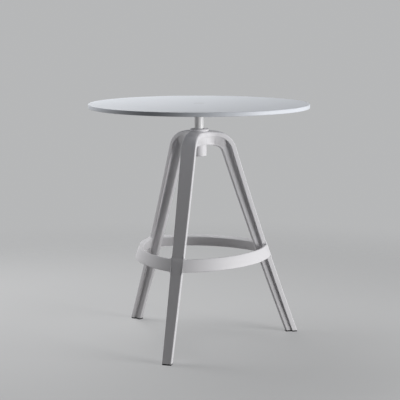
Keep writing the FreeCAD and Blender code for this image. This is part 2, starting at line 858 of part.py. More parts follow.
def make_guide_bush():
    """Keyed bush on the spindle's lower end. It slides in the sleeve and doesn't turn."""
    inner = half("journal_diameter") + gap
    outer = half("chamber_diameter") - gap
    low = journal_base + gap
    high = cell("journal_top") - gap
    body = ring_of("guide_bush", inner, outer, low, high)
    root_in = inner + gap
    reach = half("chamber_diameter") + cell("key_depth") - gap
    wide = half("key_width") - gap
    plan = sketch_on(body, "XY_Plane", "key_plan", low)
    outline(plan, [(root_in, -wide), (reach, -wide), (reach, wide), (root_in, wide)])
    pad(body, "key", plan, high - low)


def make_rings():
    """Nut, washers and seal, all plain rings about the table's axis."""
    bore = half("thread_diameter") + gap
    nut = half("nut_diameter")
    shoulder = cell("post_shoulder_height")
    ring_of("lift_nut", bore, nut, nut_base, nut_top)
    ring_of("thrust_washer", bore, nut, nut_top, shoulder)
    ring_of("wiper_ring", half("post_diameter") + gap, nut, shoulder, collar_top)
    washer = half("stop_washer_diameter")
    washer_base = journal_base - cell("stop_washer_thickness")
    ring_of("stop_washer", half("bolt_diameter") + fit, washer, washer_base, journal_base)


def headed_screw(diameter, length, head_diameter, head_height):
    """A screw whose head stands on Z = 0 and whose shank goes down, with a hexagon recess in the head."""
    shank = rod(diameter, length, UP * -length)
    head = rod(head_diameter, head_height)
    floor = UP * head_height * RECESS_FLOOR
    spoke = ALONG_X * diameter * RECESS_WIDTH / math.sqrt(3)
    corners = [FreeCAD.Rotation(UP, 60 * i).multVec(spoke) + floor for i in range(6)]
    recess = Part.Face(Part.makePolygon(corners + corners[:1])).extrude(UP * head_height)
    return shank.fuse(head).removeSplitter().cut(recess)


def sheet_screw(kind, length, head_height):
    """A headed screw of the kind's diameters on the sheet."""
    return headed_screw(SIZES[f"{kind}_diameter"], length, SIZES[f"{kind}_head_diameter"], head_height)


def make_top_fasteners():
    """Screws and inserts between the flange and the top, and the bolt and pin between flange and spindle."""
    reach = SIZES["flange_screw_circle"] / 2
    length = SIZES["flange_thickness"] + SIZES["insert_length"] - snug.value
    screw = sheet_screw("screw", length, SIZES["screw_head_height"])
    group("flange_screws", around(placed(screw, UP * flange_under.value, -UP), reach, screw_turns()))
    insert = rod(SIZES["insert_diameter"], SIZES["insert_length"])
    insert = insert.cut(rod(SIZES["screw_diameter"] + snug.value, SIZES["insert_length"]))
    group("top_inserts", around(placed(insert, UP * top_under.value), reach, screw_turns()))
    bolt = sheet_screw("bolt", SIZES["bolt_length"], SIZES["bolt_head_height"])
    group("spindle_bolt", [placed(bolt, UP * top_under.value)])
    pin_length = SIZES["flange_boss_end_diameter"]
    pin_start = FreeCAD.Vector(0, -pin_length / 2, pin_height.value)
    group("spindle_pin", [rod(SIZES["pin_diameter"], pin_length, pin_start, ALONG_Y)])


def make_hub_fasteners():
    """Stop screw under the spindle, screws in the collar, set screw in the boss and dowels in the hub."""
    stop = sheet_screw("bolt", SIZES["stop_screw_length"], SIZES["stop_screw_head_height"])
    under_washer = journal_base.value - SIZES["stop_washer_thickness"]
    group("stop_screw", [placed(stop, UP * under_washer, -UP)])
    head = SIZES["screw_head_height"]
    screw = sheet_screw("screw", SIZES["collar_screw_length"] - head, head)
    screw = placed(screw, UP * (collar_top.value - head))
    group("collar_screws", around(screw, SIZES["collar_screw_circle"] / 2, LEG_TURNS.values()))
    boss = SIZES["boss_diameter"] / 2
    wall = boss - SIZES["sleeve_diameter"] / 2
    grub_at = FreeCAD.Vector(0, boss, boss_grub_height.value)
    group("boss_grub_screw", [rod(SIZES["grub_diameter"], wall, grub_at, -ALONG_Y)])
    length = SIZES["hub_dowel_length"]
    dowel = rod(SIZES["hub_dowel_diameter"], length, ALONG_Y * (-length / 2), ALONG_Y)
    dowel = placed(dowel, UP * SIZES["hub_dowel_height"])
    group("hub_dowels", around(dowel, SIZES["hub_dowel_reach"], RING_TURNS.values()))


def make_ring_fasteners():
    """Dowels across the joints between ring and legs, and a set screw under each."""
    length = SIZES["ring_dowel_inside"] + SIZES["ring_dowel_outside"]
    dowels = []
    grubs = []
    for sign in SIDES.values():
        dowel = rod(SIZES["ring_dowel_diameter"], length, vector(dowel_start(sign)), ALONG_Y * sign)
        grub = rod(SIZES["grub_diameter"], SIZES["grub_length"], vector(grub_start(sign)), -UP)
        dowels += around(dowel, 0, LEG_TURNS.values())
        grubs += around(grub, 0, LEG_TURNS.values())
    group("ring_dowels", dowels)
    group("ring_grub_screws", grubs)


def make_everything():
    """Builds every sub-part in the document."""
    for name, turn in LEG_TURNS.items():
        make_leg(f"leg_{name}", turn)
        make_glide(f"glide_{name}", turn)
    for name, turn in RING_TURNS.items():
        make_ring(f"ring_{name}", turn)
    make_top()
    make_cap()
    make_flange()
    make_spindle()
    make_sleeve()
    make_boss()
    make_plug()
    make_guide_bush()
    make_rings()
    make_top_fasteners()
    make_hub_fasteners()
    make_ring_fasteners()


def sub_parts():
    """The objects that are pieces of the table."""
    return [item for item in doc.Objects if item.TypeId in ("PartDesign::Body", "Part::Feature")]


def check_everything():
    """Stops if an object failed, a piece has no sound solid, or the spindle can't rise far enough."""
    doc.recompute()
    for item in doc.Objects:
        if "Invalid" in item.State or "Error" in item.State:
            raise RuntimeError(f"{item.Label} failed: {item.State}")
    for item in sub_parts():
        if item.Shape.isNull() or not item.Shape.isValid() or not item.Shape.Solids:
            raise RuntimeError(f"{item.Label} has no valid solid")
    if nut_base.value - SIZES["journal_top"] < SIZES["lift_travel"]:
        raise RuntimeError("the guide bush meets the nut before the lift's end")


make_everything()
check_everything()
os.makedirs("parts", exist_ok=True)
for piece in sub_parts():
    piece.Shape.exportStep(os.path.join("parts", f"{piece.Label}.step"))
    print(f"{piece.Label}: {len(piece.Shape.Solids)} solids, {piece.Shape.Volume:.0f} mm3")
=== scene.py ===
"""Dresses the round table whose top turns on a screw: surfaces, finishes, studio light and camera.

Sizes of the table are millimetres and degrees in its own frame, and its meshes are made in metres.
The studio's sizes are metres and degrees.
"""
import json
import logging
import math
from dataclasses import dataclass
from enum import Enum
from functools import reduce
from typing import Any

import bpy
import numpy as np
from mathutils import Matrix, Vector


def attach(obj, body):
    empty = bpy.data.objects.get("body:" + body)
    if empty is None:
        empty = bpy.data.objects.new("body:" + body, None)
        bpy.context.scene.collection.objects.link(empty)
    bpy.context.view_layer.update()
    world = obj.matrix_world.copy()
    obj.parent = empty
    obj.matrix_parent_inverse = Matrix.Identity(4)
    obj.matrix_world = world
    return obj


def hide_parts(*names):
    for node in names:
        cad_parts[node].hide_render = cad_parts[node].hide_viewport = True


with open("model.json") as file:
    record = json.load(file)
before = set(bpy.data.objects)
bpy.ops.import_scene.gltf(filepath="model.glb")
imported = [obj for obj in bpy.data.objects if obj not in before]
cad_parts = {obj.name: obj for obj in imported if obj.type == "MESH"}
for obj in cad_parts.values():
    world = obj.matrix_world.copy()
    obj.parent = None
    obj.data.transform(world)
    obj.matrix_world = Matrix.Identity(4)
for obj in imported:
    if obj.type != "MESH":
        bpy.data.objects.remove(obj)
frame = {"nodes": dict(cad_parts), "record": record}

log = logging.getLogger("round_table")

MM = 0.001
SMOOTH_BELOW = math.radians(32.0)
FULL_TURN = 2 * math.pi
THIRD_HALF = 60.0

# Places of the colour sockets on a Mix node
MIX_FACTOR, MIX_FIRST, MIX_SECOND, MIX_RESULT = 0, 6, 7, 2

LEG_TURNS = {"front": -90.0, "right": 30.0, "left": 150.0}
RING_TURNS = {"front_right": -30.0, "back": 90.0, "front_left": 210.0}

Array = np.ndarray
Colour = tuple[float, float, float]
Corner = tuple[float, float, float]
Settings = dict[str, Any]
Sockets = dict[str | int, Any]


class Body(str, Enum):
    """The bodies of the table that pieces made here move with."""

    BASE = "base"
    TOP = "top"


class Slot(str, Enum):
    """The record's material slots."""

    TOP_SHEET = "top_sheet"
    CAP_LACQUER = "cap_lacquer"
    FRAME_COAT = "frame_coat"
    POST_COAT = "post_coat"
    BRONZE = "bronze"
    GUIDE_PLASTIC = "guide_plastic"
    SEAL_RUBBER = "seal_rubber"
    PLUG_PLASTIC = "plug_plastic"
    GLIDE_PAD = "glide_pad"
    ZINC_STEEL = "zinc_steel"


def smooth_step(value: Array, low: float, high: float) -> Array:
    """Rises from 0 at low to 1 at high along the curve 3t^2 - 2t^3."""
    part = np.clip((value - low) / (high - low), 0.0, 1.0)
    return part * part * (3.0 - 2.0 * part)


def quarter(count: int) -> Array:
    """Angles of a quarter circle from 0 to 90 degrees, in radians."""
    return np.linspace(0.0, math.pi / 2, count)


def around(columns: int) -> Array:
    """Angles of even steps round a full turn, in radians."""
    return np.arange(columns) * FULL_TURN / columns


def headings(angle: Array) -> Array:
    """Unit directions (cos a, sin a), on a new last axis."""
    return np.stack([np.cos(angle), np.sin(angle)], axis=-1)


def round_points(radius: Array | float, angle: Array, height: Array | float) -> Array:
    """Points x = r cos a, y = r sin a, z = h, on a new last axis."""
    return np.stack(np.broadcast_arrays(radius * np.cos(angle), radius * np.sin(angle), height), axis=-1)


def cross(first: Array, second: Array) -> Array:
    """The first's x times the second's y, less the first's y times the second's x."""
    return first[..., 0] * second[..., 1] - first[..., 1] * second[..., 0]


def turned(points: Array, degrees: float) -> Array:
    """Turns points about the upright axis.

    Args:
        points: Array whose last axis is x, y, z.
        degrees: Angle, counted from +X towards +Y.

    Returns:
        The turned points, in an array of the same shape.
    """
    angle = math.radians(degrees)
    cosine, sine = math.cos(angle), math.sin(angle)
    matrix = np.array([[cosine, sine, 0.0], [-sine, cosine, 0.0], [0.0, 0.0, 1.0]])
    return points @ matrix


def rounded_outline(corners: list[Corner], count: int = 5) -> Array:
    """A closed outline whose corners are arcs tangent to both of their sides.

    At each corner the arc's centre lies on the bisector, and the arc joins the two tangent points.

    Args:
        corners: Corner points in order round the outline, each with its radius; 0 keeps the corner sharp.
        count: Points on each arc.

    Returns:
        Array of outline points, shape (points, 2).
    """
    table = np.array(corners)
    places, radii = table[:, :2], table[:, 2]
    part = np.linspace(0.0, 1.0, count)[:, None]
    pieces = []
    for before, place, after, radius in zip(np.roll(places, 1, 0), places, np.roll(places, -1, 0), radii):
        if radius <= 0.0:
            pieces.append(place[None, :])
            continue
        back = (before - place) / np.linalg.norm(before - place)
        ahead = (after - place) / np.linalg.norm(after - place)
        half = math.acos(float(np.clip(back @ ahead, -1.0, 1.0))) / 2
        middle = (back + ahead) / np.linalg.norm(back + ahead)
        centre = place + middle * radius / math.sin(half)
        start = place + back * radius / math.tan(half) - centre
        end = place + ahead * radius / math.tan(half) - centre
        sweep = math.pi - 2 * half
        arc = (np.sin((1 - part) * sweep) * start + np.sin(part * sweep) * end) / math.sin(sweep)
        pieces.append(centre + arc)
    return np.concatenate(pieces)


@dataclass
class Shell:
    """A closed surface: its points in millimetres, and the faces between them."""

    points: Array
    faces: list[list[int]]

    def outward(self) -> "Shell":
        """Turns every face round if the enclosed volume, summed over fans of each face, is negative.

        Returns:
            The shell itself.
        """
        volume = 0.0
        for face in self.faces:
            ring = self.points[face]
            volume += float(np.sum(ring[0] * np.cross(ring[1:-1], ring[2:])))
        if volume < 0.0:
            self.faces = [face[::-1] for face in self.faces]
        return self

    def joined(self, other: "Shell") -> "Shell":
        """Both shells as one, side by side."""
        faces = self.faces + [[index + len(self.points) for index in face] for face in other.faces]
        return Shell(np.concatenate([self.points, other.points]), faces)


def grid_faces(index: Array) -> list[list[int]]:
    """Quads of a grid of point numbers that closes round its second axis.

    Args:
        index: Point numbers, shape (rows, columns).

    Returns:
        One quad for each cell.
    """
    beside = np.roll(index, -1, axis=1)
    quads = np.stack([index[:-1], beside[:-1], beside[1:], index[1:]], axis=-1)
    return quads.reshape(-1, 4).tolist()


def loft(rings: Array, end_cap: list[list[int]] | None = None) -> Shell:
    """Joins closed rings of points into a skin, and closes its two ends.

    Args:
        rings: Points, shape (rings, points in a ring, 3).
        end_cap: Faces over the last ring, as places in the ring. One face round the ring if left out.

    Returns:
        The closed shell.
    """
    count, places = rings.shape[:2]
    index = np.arange(count * places).reshape(count, places)
    faces = grid_faces(index)
    faces.append(index[0][::-1].tolist())
    faces += [index[-1][face].tolist() for face in end_cap or [list(range(places))]]
    return Shell(rings.reshape(-1, 3), faces).outward()


def wrapped(rows: Array, poles: bool) -> Shell:
    """Closes a grid of points whose second axis goes round the axis of turning.

    Args:
        rows: Points, shape (rows, columns, 3).
        poles: True where the first and last rows are single points, False where the rows close in a loop.

    Returns:
        The closed shell.
    """
    count, columns = rows.shape[:2]
    if not poles:
        index = np.arange(count * columns).reshape(count, columns)
        faces = grid_faces(np.concatenate([index, index[:1]]))
        return Shell(rows.reshape(-1, 3), faces).outward()
    points = np.concatenate([rows[1:-1].reshape(-1, 3), rows[0, :1], rows[-1, :1]])
    index = np.arange((count - 2) * columns).reshape(count - 2, columns)
    first, last = len(points) - 2, len(points) - 1
    faces = grid_faces(index)
    faces += np.stack([np.full(columns, first), np.roll(index[0], -1), index[0]], axis=-1).tolist()
    faces += np.stack([np.full(columns, last), index[-1], np.roll(index[-1], -1)], axis=-1).tolist()
    return Shell(points, faces).outward()


def lathe(profile: Array, columns: int) -> Shell:
    """Turns a closed profile of (radius, height), shape (rows, 2), about the upright axis in even steps."""
    rows = round_points(profile[:, 0, None], around(columns), profile[:, 1, None])
    return wrapped(rows, poles=False)


class Wire:
    """A socket of a shader graph that can stand in sums: each operator adds one Math node."""

    def __init__(self, graph: "Graph", socket: bpy.types.NodeSocket) -> None:
        """Keeps the graph that new nodes go into, and the socket."""
        self.graph = graph
        self.socket = socket

    def _math(self, operation: str, first: "Term", second: "Term") -> "Wire":
        """A Math node of two terms."""
        return self.graph.wire("ShaderNodeMath", {"operation": operation}, {0: first, 1: second})

    def __add__(self, other: "Term") -> "Wire":
        """The sum of two terms."""
        return self._math("ADD", self, other)

    def __radd__(self, other: "Term") -> "Wire":
        """The sum, with the number first."""
        return self._math("ADD", other, self)

    def __sub__(self, other: "Term") -> "Wire":
        """The difference of two terms."""
        return self._math("SUBTRACT", self, other)

    def __rsub__(self, other: "Term") -> "Wire":
        """The difference, with the number first."""
        return self._math("SUBTRACT", other, self)

    def __mul__(self, other: "Term") -> "Wire":
        """The product of two terms."""
        return self._math("MULTIPLY", self, other)

    def __rmul__(self, other: "Term") -> "Wire":
        """The product, with the number first."""
        return self._math("MULTIPLY", other, self)

    def step(self, low: float, high: float) -> "Wire":
        """Rises smoothly from 0 at low to 1 at high."""
        sockets = {"Value": self, "From Min": low, "From Max": high}
        return self.graph.wire("ShaderNodeMapRange", {"interpolation_type": "SMOOTHSTEP"}, sockets)


Term = Wire | float


class Graph:
    """The nodes of one material or world, and the one way in which they are made."""

    def __init__(self, owner: bpy.types.Material | bpy.types.World) -> None:
        """Starts with no nodes.

        Args:
            owner: The material or world that the nodes belong to.
        """
        owner.use_nodes = True
        self.tree = owner.node_tree
        self.tree.nodes.clear()

    def node(self, kind: str, settings: Settings, sockets: Sockets) -> bpy.types.Node:
        """Adds a node.

        Args:
            kind: The node's type.
            settings: Properties of the node, which are set first.
            sockets: Values or wires for its inputs, by name or number.

        Returns:
            The new node.
        """
        made = self.tree.nodes.new(kind)
        for key, value in settings.items():
            setattr(made, key, value)
        for key, value in sockets.items():
            self.feed(made.inputs[key], value)
        return made

    def wire(self, kind: str, settings: Settings, sockets: Sockets, output: str | int = 0) -> Wire:
        """A wire from one output of a new node."""
        return Wire(self, self.node(kind, settings, sockets).outputs[output])

    def feed(self, socket: bpy.types.NodeSocket, value: Any) -> None:
        """Links a wire to an input, or sets the input to a plain value.

        Args:
            socket: The input.
            value: A wire, a number, a vector, or a colour without its alpha.
        """
        if isinstance(value, Wire):
            self.tree.links.new(value.socket, socket)
        elif socket.type == "RGBA":
            socket.default_value = (*value, 1.0)
        else:
            socket.default_value = value

    def seen(self) -> Wire:
        """Tells rays whose end shows in the picture, straight or by mirror or glass, from plain light.

        Returns:
            1 for a ray that shows, and 0 for any other.
        """
        path = self.node("ShaderNodeLightPath", {}, {}).outputs
        camera, glossy = Wire(self, path["Is Camera Ray"]), Wire(self, path["Is Glossy Ray"])
        return camera + glossy + Wire(self, path["Is Transmission Ray"])

    def blended(self, factor: "Term", first: Wire, second: Wire) -> Wire:
        """Two shaders mixed by a factor."""
        return self.wire("ShaderNodeMixShader", {}, {0: factor, 1: first, 2: second})


@dataclass(frozen=True)
class Pattern:
    """A cloudy noise: the size of its features, its finer layers, and its share in the roughness.

    The stretch is its scale along each axis, where the features are drawn out.
    """

    size_mm: float
    detail: float
    gloss: float = 0.0
    stretch: tuple[float, float, float] | None = None


class SurfaceGraph(Graph):
    """The nodes of one material, with its surface shader and the patterns that feed it."""

    def __init__(self, name: str) -> None:
        """Starts a material with an output and one surface shader.

        Args:
            name: The material's name.
        """
        self.material = bpy.data.materials.new(name)
        super().__init__(self.material)
        self.principled = self.node("ShaderNodeBsdfPrincipled", {}, {})
        self.shader = Wire(self, self.principled.outputs[0])
        self.output = self.node("ShaderNodeOutputMaterial", {}, {"Surface": self.shader})
        self.place = self.wire("ShaderNodeTexCoord", {}, {}, "Object")

    def surface(self, **values: Any) -> None:
        """Sets or links the shader's inputs, named with underscores for spaces."""
        for key, value in values.items():
            self.feed(self.principled.inputs[key.replace("_", " ")], value)

    def noise(self, pattern: Pattern) -> Wire:
        """A pattern's noise.

        Args:
            pattern: What the noise is like.

        Returns:
            The noise as a wire, from 0 to 1.
        """
        place = self.place
        if pattern.stretch:
            place = self.wire("ShaderNodeMapping", {}, {"Vector": place, "Scale": pattern.stretch})
        sockets = {"Vector": place, "Scale": 1.0 / (pattern.size_mm * MM), "Detail": pattern.detail}
        return self.wire("ShaderNodeTexNoise", {}, sockets)

    def height(self) -> Wire:
        """The height above the floor in metres."""
        return self.wire("ShaderNodeSeparateXYZ", {}, {0: self.place}, "Z")

    def mixed(self, first: Wire | Colour, second: Wire | Colour, factor: Term) -> Wire:
        """Two colours mixed by a factor."""
        sockets = {MIX_FACTOR: factor, MIX_FIRST: first, MIX_SECOND: second}
        return self.wire("ShaderNodeMix", {"data_type": "RGBA"}, sockets, MIX_RESULT)

    def bump(self, height: Wire, depth_mm: float, strength: float) -> None:
        """Raises the surface by a height wire, in the shader's normal only."""
        sockets = {"Height": height, "Distance": depth_mm * MM, "Strength": strength}
        self.surface(Normal=self.wire("ShaderNodeBump", {}, sockets))


def shade(colour: Colour, amount: float) -> Colour:
    """A colour made lighter or darker by a factor, at most 1."""
    return tuple(min(part * amount, 1.0) for part in colour)


@dataclass(frozen=True)
class Finish:
    """What a surface is made of: a tint that slow clouds vary, and a fine grain in its gloss and its bumps.

    The roughness is its mean plus, for clouds and grain alike, a share of the pattern less a half.
    """

    slot: Slot
    tint: Colour
    roughness: float
    clouds: Pattern
    grain: Pattern
    grain_depth_mm: float
    grain_bump: float
    tone: float = 0.0
    gloss: float = 0.5
    metallic: float = 0.0

    def colour(self, graph: SurfaceGraph, clouds: Wire) -> Wire:
        """The tint, made darker and lighter by the clouds."""
        return graph.mixed(shade(self.tint, 1.0 - self.tone), shade(self.tint, 1.0 + self.tone), clouds)

    def make(self) -> bpy.types.Material:
        """Builds the material: clouds feed colour and gloss, and the grain feeds gloss and a shallow bump.

        Returns:
            The material, named after the slot.
        """
        graph = SurfaceGraph(self.slot.value)
        clouds, grain = graph.noise(self.clouds), graph.noise(self.grain)
        graph.surface(
            Base_Color=self.colour(graph, clouds),
            Roughness=self.roughness + self.clouds.gloss * (clouds - 0.5) + self.grain.gloss * (grain - 0.5),
            Metallic=self.metallic,
            Specular_IOR_Level=self.gloss,
        )
        graph.bump(grain, self.grain_depth_mm, self.grain_bump)
        return graph.material


@dataclass(frozen=True)
class PowderCoat(Finish):
    """Baked powder paint on a casting: fine orange peel, a drift of tone, and faint scuffs at the feet."""

    roughness: float = 0.5
    clouds: Pattern = Pattern(120.0, 3.0, gloss=0.08)
    grain: Pattern = Pattern(1.1, 2.0, gloss=0.1)
    grain_depth_mm: float = 0.05
    grain_bump: float = 0.4
    tone: float = 0.035
    gloss: float = 0.45
    scuff: Colour = (0.52, 0.5, 0.48)
    scuffs: Pattern = Pattern(7.0, 4.0, stretch=(1.0, 1.0, 0.35))
    scuff_span: tuple[float, float] = (0.58, 0.72)
    scuff_heights: tuple[float, float] = (0.004, 0.05)
    scuff_share: float = 0.35

    def colour(self, graph: SurfaceGraph, clouds: Wire) -> Wire:
        """The clouded tint, with scuffs that fade out above the feet.

        Args:
            graph: The material's nodes.
            clouds: The slow pattern.

        Returns:
            The colour as a wire.
        """
        marks = graph.noise(self.scuffs).step(*self.scuff_span)
        worn = marks * (1.0 - graph.height().step(*self.scuff_heights)) * self.scuff_share
        return graph.mixed(super().colour(graph, clouds), self.scuff, worn)


@dataclass(frozen=True)
class SatinSheet(Finish):
    """A smooth satin sheet or lacquer: almost even, with a breath of cloud in tone and gloss."""

    roughness: float = 0.4
    clouds: Pattern = Pattern(160.0, 4.0, gloss=0.08)
    grain: Pattern = Pattern(0.6, 1.0, gloss=0.05)
    grain_depth_mm: float = 0.012
    grain_bump: float = 0.3
    tone: float = 0.015
    gloss: float = 0.32


@dataclass(frozen=True)
class TurnedMetal(Finish):
    """Bare or plated metal with fine marks of machining, drawn out across the axis it was turned about."""

    roughness: float = 0.34
    clouds: Pattern = Pattern(14.0, 3.0, gloss=0.1)
    grain: Pattern = Pattern(0.5, 3.0, gloss=0.18, stretch=(0.12, 0.12, 1.0))
    grain_depth_mm: float = 0.02
    grain_bump: float = 0.3
    metallic: float = 1.0
    stain: Colour = (0.4, 0.41, 0.43)
    stain_span: tuple[float, float] = (0.35, 0.85)
    stain_share: float = 0.5

    def colour(self, graph: SurfaceGraph, clouds: Wire) -> Wire:
        """The tint, stained where the clouds are dense."""
        return graph.mixed(self.tint, self.stain, clouds.step(*self.stain_span) * self.stain_share)


@dataclass(frozen=True)
class MouldedPlastic(Finish):
    """Moulded plastic or rubber with a spark-eroded grain."""

    roughness: float = 0.6
    clouds: Pattern = Pattern(18.0, 2.0)
    grain: Pattern = Pattern(0.7, 2.0, gloss=0.14)
    grain_depth_mm: float = 0.05
    grain_bump: float = 0.4
    tone: float = 0.06


FINISHES: tuple[Finish, ...] = (
    SatinSheet(Slot.TOP_SHEET, (0.745, 0.775, 0.825)),
    SatinSheet(Slot.CAP_LACQUER, (0.64, 0.665, 0.705), roughness=0.3),
    PowderCoat(Slot.FRAME_COAT, (0.79, 0.78, 0.8)),
    SatinSheet(
        Slot.POST_COAT, (0.82, 0.82, 0.82), roughness=0.32, gloss=0.5, clouds=Pattern(40.0, 4.0, gloss=0.08),
    ),
    TurnedMetal(Slot.BRONZE, (0.72, 0.5, 0.26), stain=(0.45, 0.28, 0.13)),
    MouldedPlastic(Slot.GUIDE_PLASTIC, (0.8, 0.78, 0.72), roughness=0.45),
    MouldedPlastic(Slot.SEAL_RUBBER, (0.07, 0.07, 0.072), roughness=0.75),
    MouldedPlastic(Slot.PLUG_PLASTIC, (0.66, 0.645, 0.63), roughness=0.55),
    MouldedPlastic(Slot.GLIDE_PAD, (0.05, 0.05, 0.052)),
    TurnedMetal(Slot.ZINC_STEEL, (0.66, 0.67, 0.69)),
)


def placed(name: str, data: bpy.types.ID) -> bpy.types.Object:
    """Puts a new object into the scene.

    Args:
        name: The object's name.
        data: Its mesh, lamp or camera.

    Returns:
        The object, at the origin.
    """
    made = bpy.data.objects.new(name, data)
    bpy.context.scene.collection.objects.link(made)
    return made


class Workshop:
    """Turns shells into pieces of the table, each dressed, named and tied to its body."""

    def __init__(self) -> None:
        """Builds every finish once."""
        self.materials = {finish.slot: finish.make() for finish in FINISHES}

    def piece(self, name: str, shell: Shell, slot: Slot, body: Body, *nodes: str) -> None:
        """Makes a piece from a shell, at the origin with its place in its mesh.

        Args:
            name: The piece's name.
            shell: Its surface, in millimetres.
            slot: The slot whose finish it wears.
            body: The body it moves with.
            nodes: The nodes of the frame that it stands for.
        """
        mesh = bpy.data.meshes.new(name)
        mesh.from_pydata((shell.points * MM).tolist(), [], shell.faces)
        mesh.polygons.foreach_set("use_smooth", np.ones(len(mesh.polygons), bool))
        mesh.set_sharp_from_angle(angle=SMOOTH_BELOW)
        mesh.materials.append(self.materials[slot])
        mesh.update()
        made = placed(name, mesh)
        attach(made, body.value)
        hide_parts(*nodes)
        log.info("%s: %d faces on %s, for %s", name, len(mesh.polygons), body.value, ", ".join(nodes))

    def dress_rest(self) -> None:
        """Gives every node of the frame that is still shown the finish of its own slot."""
        for row in frame["record"]["subparts"]:
            node = frame["nodes"][row["node"]]
            if node.hide_render:
                continue
            node.data.materials.clear()
            node.data.materials.append(self.materials[Slot(row["material_slot"])])
            log.info("%s: kept, in %s", row["node"], row["material_slot"])


@dataclass
class TeeSection:
    """Half of a leg's T section; each size is a column with one row for each station along the leg."""

    face: Array
    crown: Array
    width: Array
    plate: Array
    edge: Array
    back: Array
    root: Array
    rib: Array
    nose_half: Array
    nose: Array
    depth: Array
    face_steps: int
    edge_points: int = 5
    corner_points: int = 6
    nose_points: int = 10
    wall_parts: tuple[float, ...] = (0.08, 0.5, 0.92)

    def half_loop(self) -> tuple[Array, Array, Array]:
        """Points from the middle of the outer face round to the middle of the nose.

        Straight runs are even steps, and each corner is a quarter circle. The outer face falls by the crown
        times the square of the way across.

        Returns:
            Distance to the side, depth from the outer face, and the side limit of the point's own run.
        """
        steps = np.linspace(0.0, 1.0, self.face_steps + 1)
        back_steps = steps[-2::-1]
        wall = np.array(self.wall_parts)
        edge_turn = quarter(self.edge_points)[1:]
        turn, nose_turn = quarter(self.corner_points), quarter(self.nose_points)
        flat, nose_flat = self.width - self.edge, self.nose_half - self.nose
        wall_top, wall_end = self.face + self.crown + self.edge, self.plate - self.back
        rib_top, rib_end = self.plate + self.root, self.depth - self.nose
        runs = [
            (flat * steps, self.face + self.crown * steps ** 2),
            (flat + self.edge * np.sin(edge_turn), wall_top - self.edge * np.cos(edge_turn)),
            (self.width + 0.0 * wall, wall_top + (wall_end - wall_top) * wall),
            (self.width - self.back + self.back * np.cos(turn), wall_end + self.back * np.sin(turn)),
            (self.rib + self.root * (1.0 - np.sin(turn)), rib_top - self.root * np.cos(turn)),
            (self.rib + (self.nose_half - self.rib) * wall, rib_top + (rib_end - rib_top) * wall),
            (nose_flat + self.nose * np.cos(nose_turn), rib_end + self.nose * np.sin(nose_turn)),
            (nose_flat * back_steps, self.depth + 0.0 * back_steps),
        ]
        across, deep = (np.concatenate(way, axis=1) for way in zip(*runs))
        limit = across.copy()
        limit[:, :len(steps)] = flat
        limit[:, -self.face_steps:] = nose_flat
        return across, deep, limit


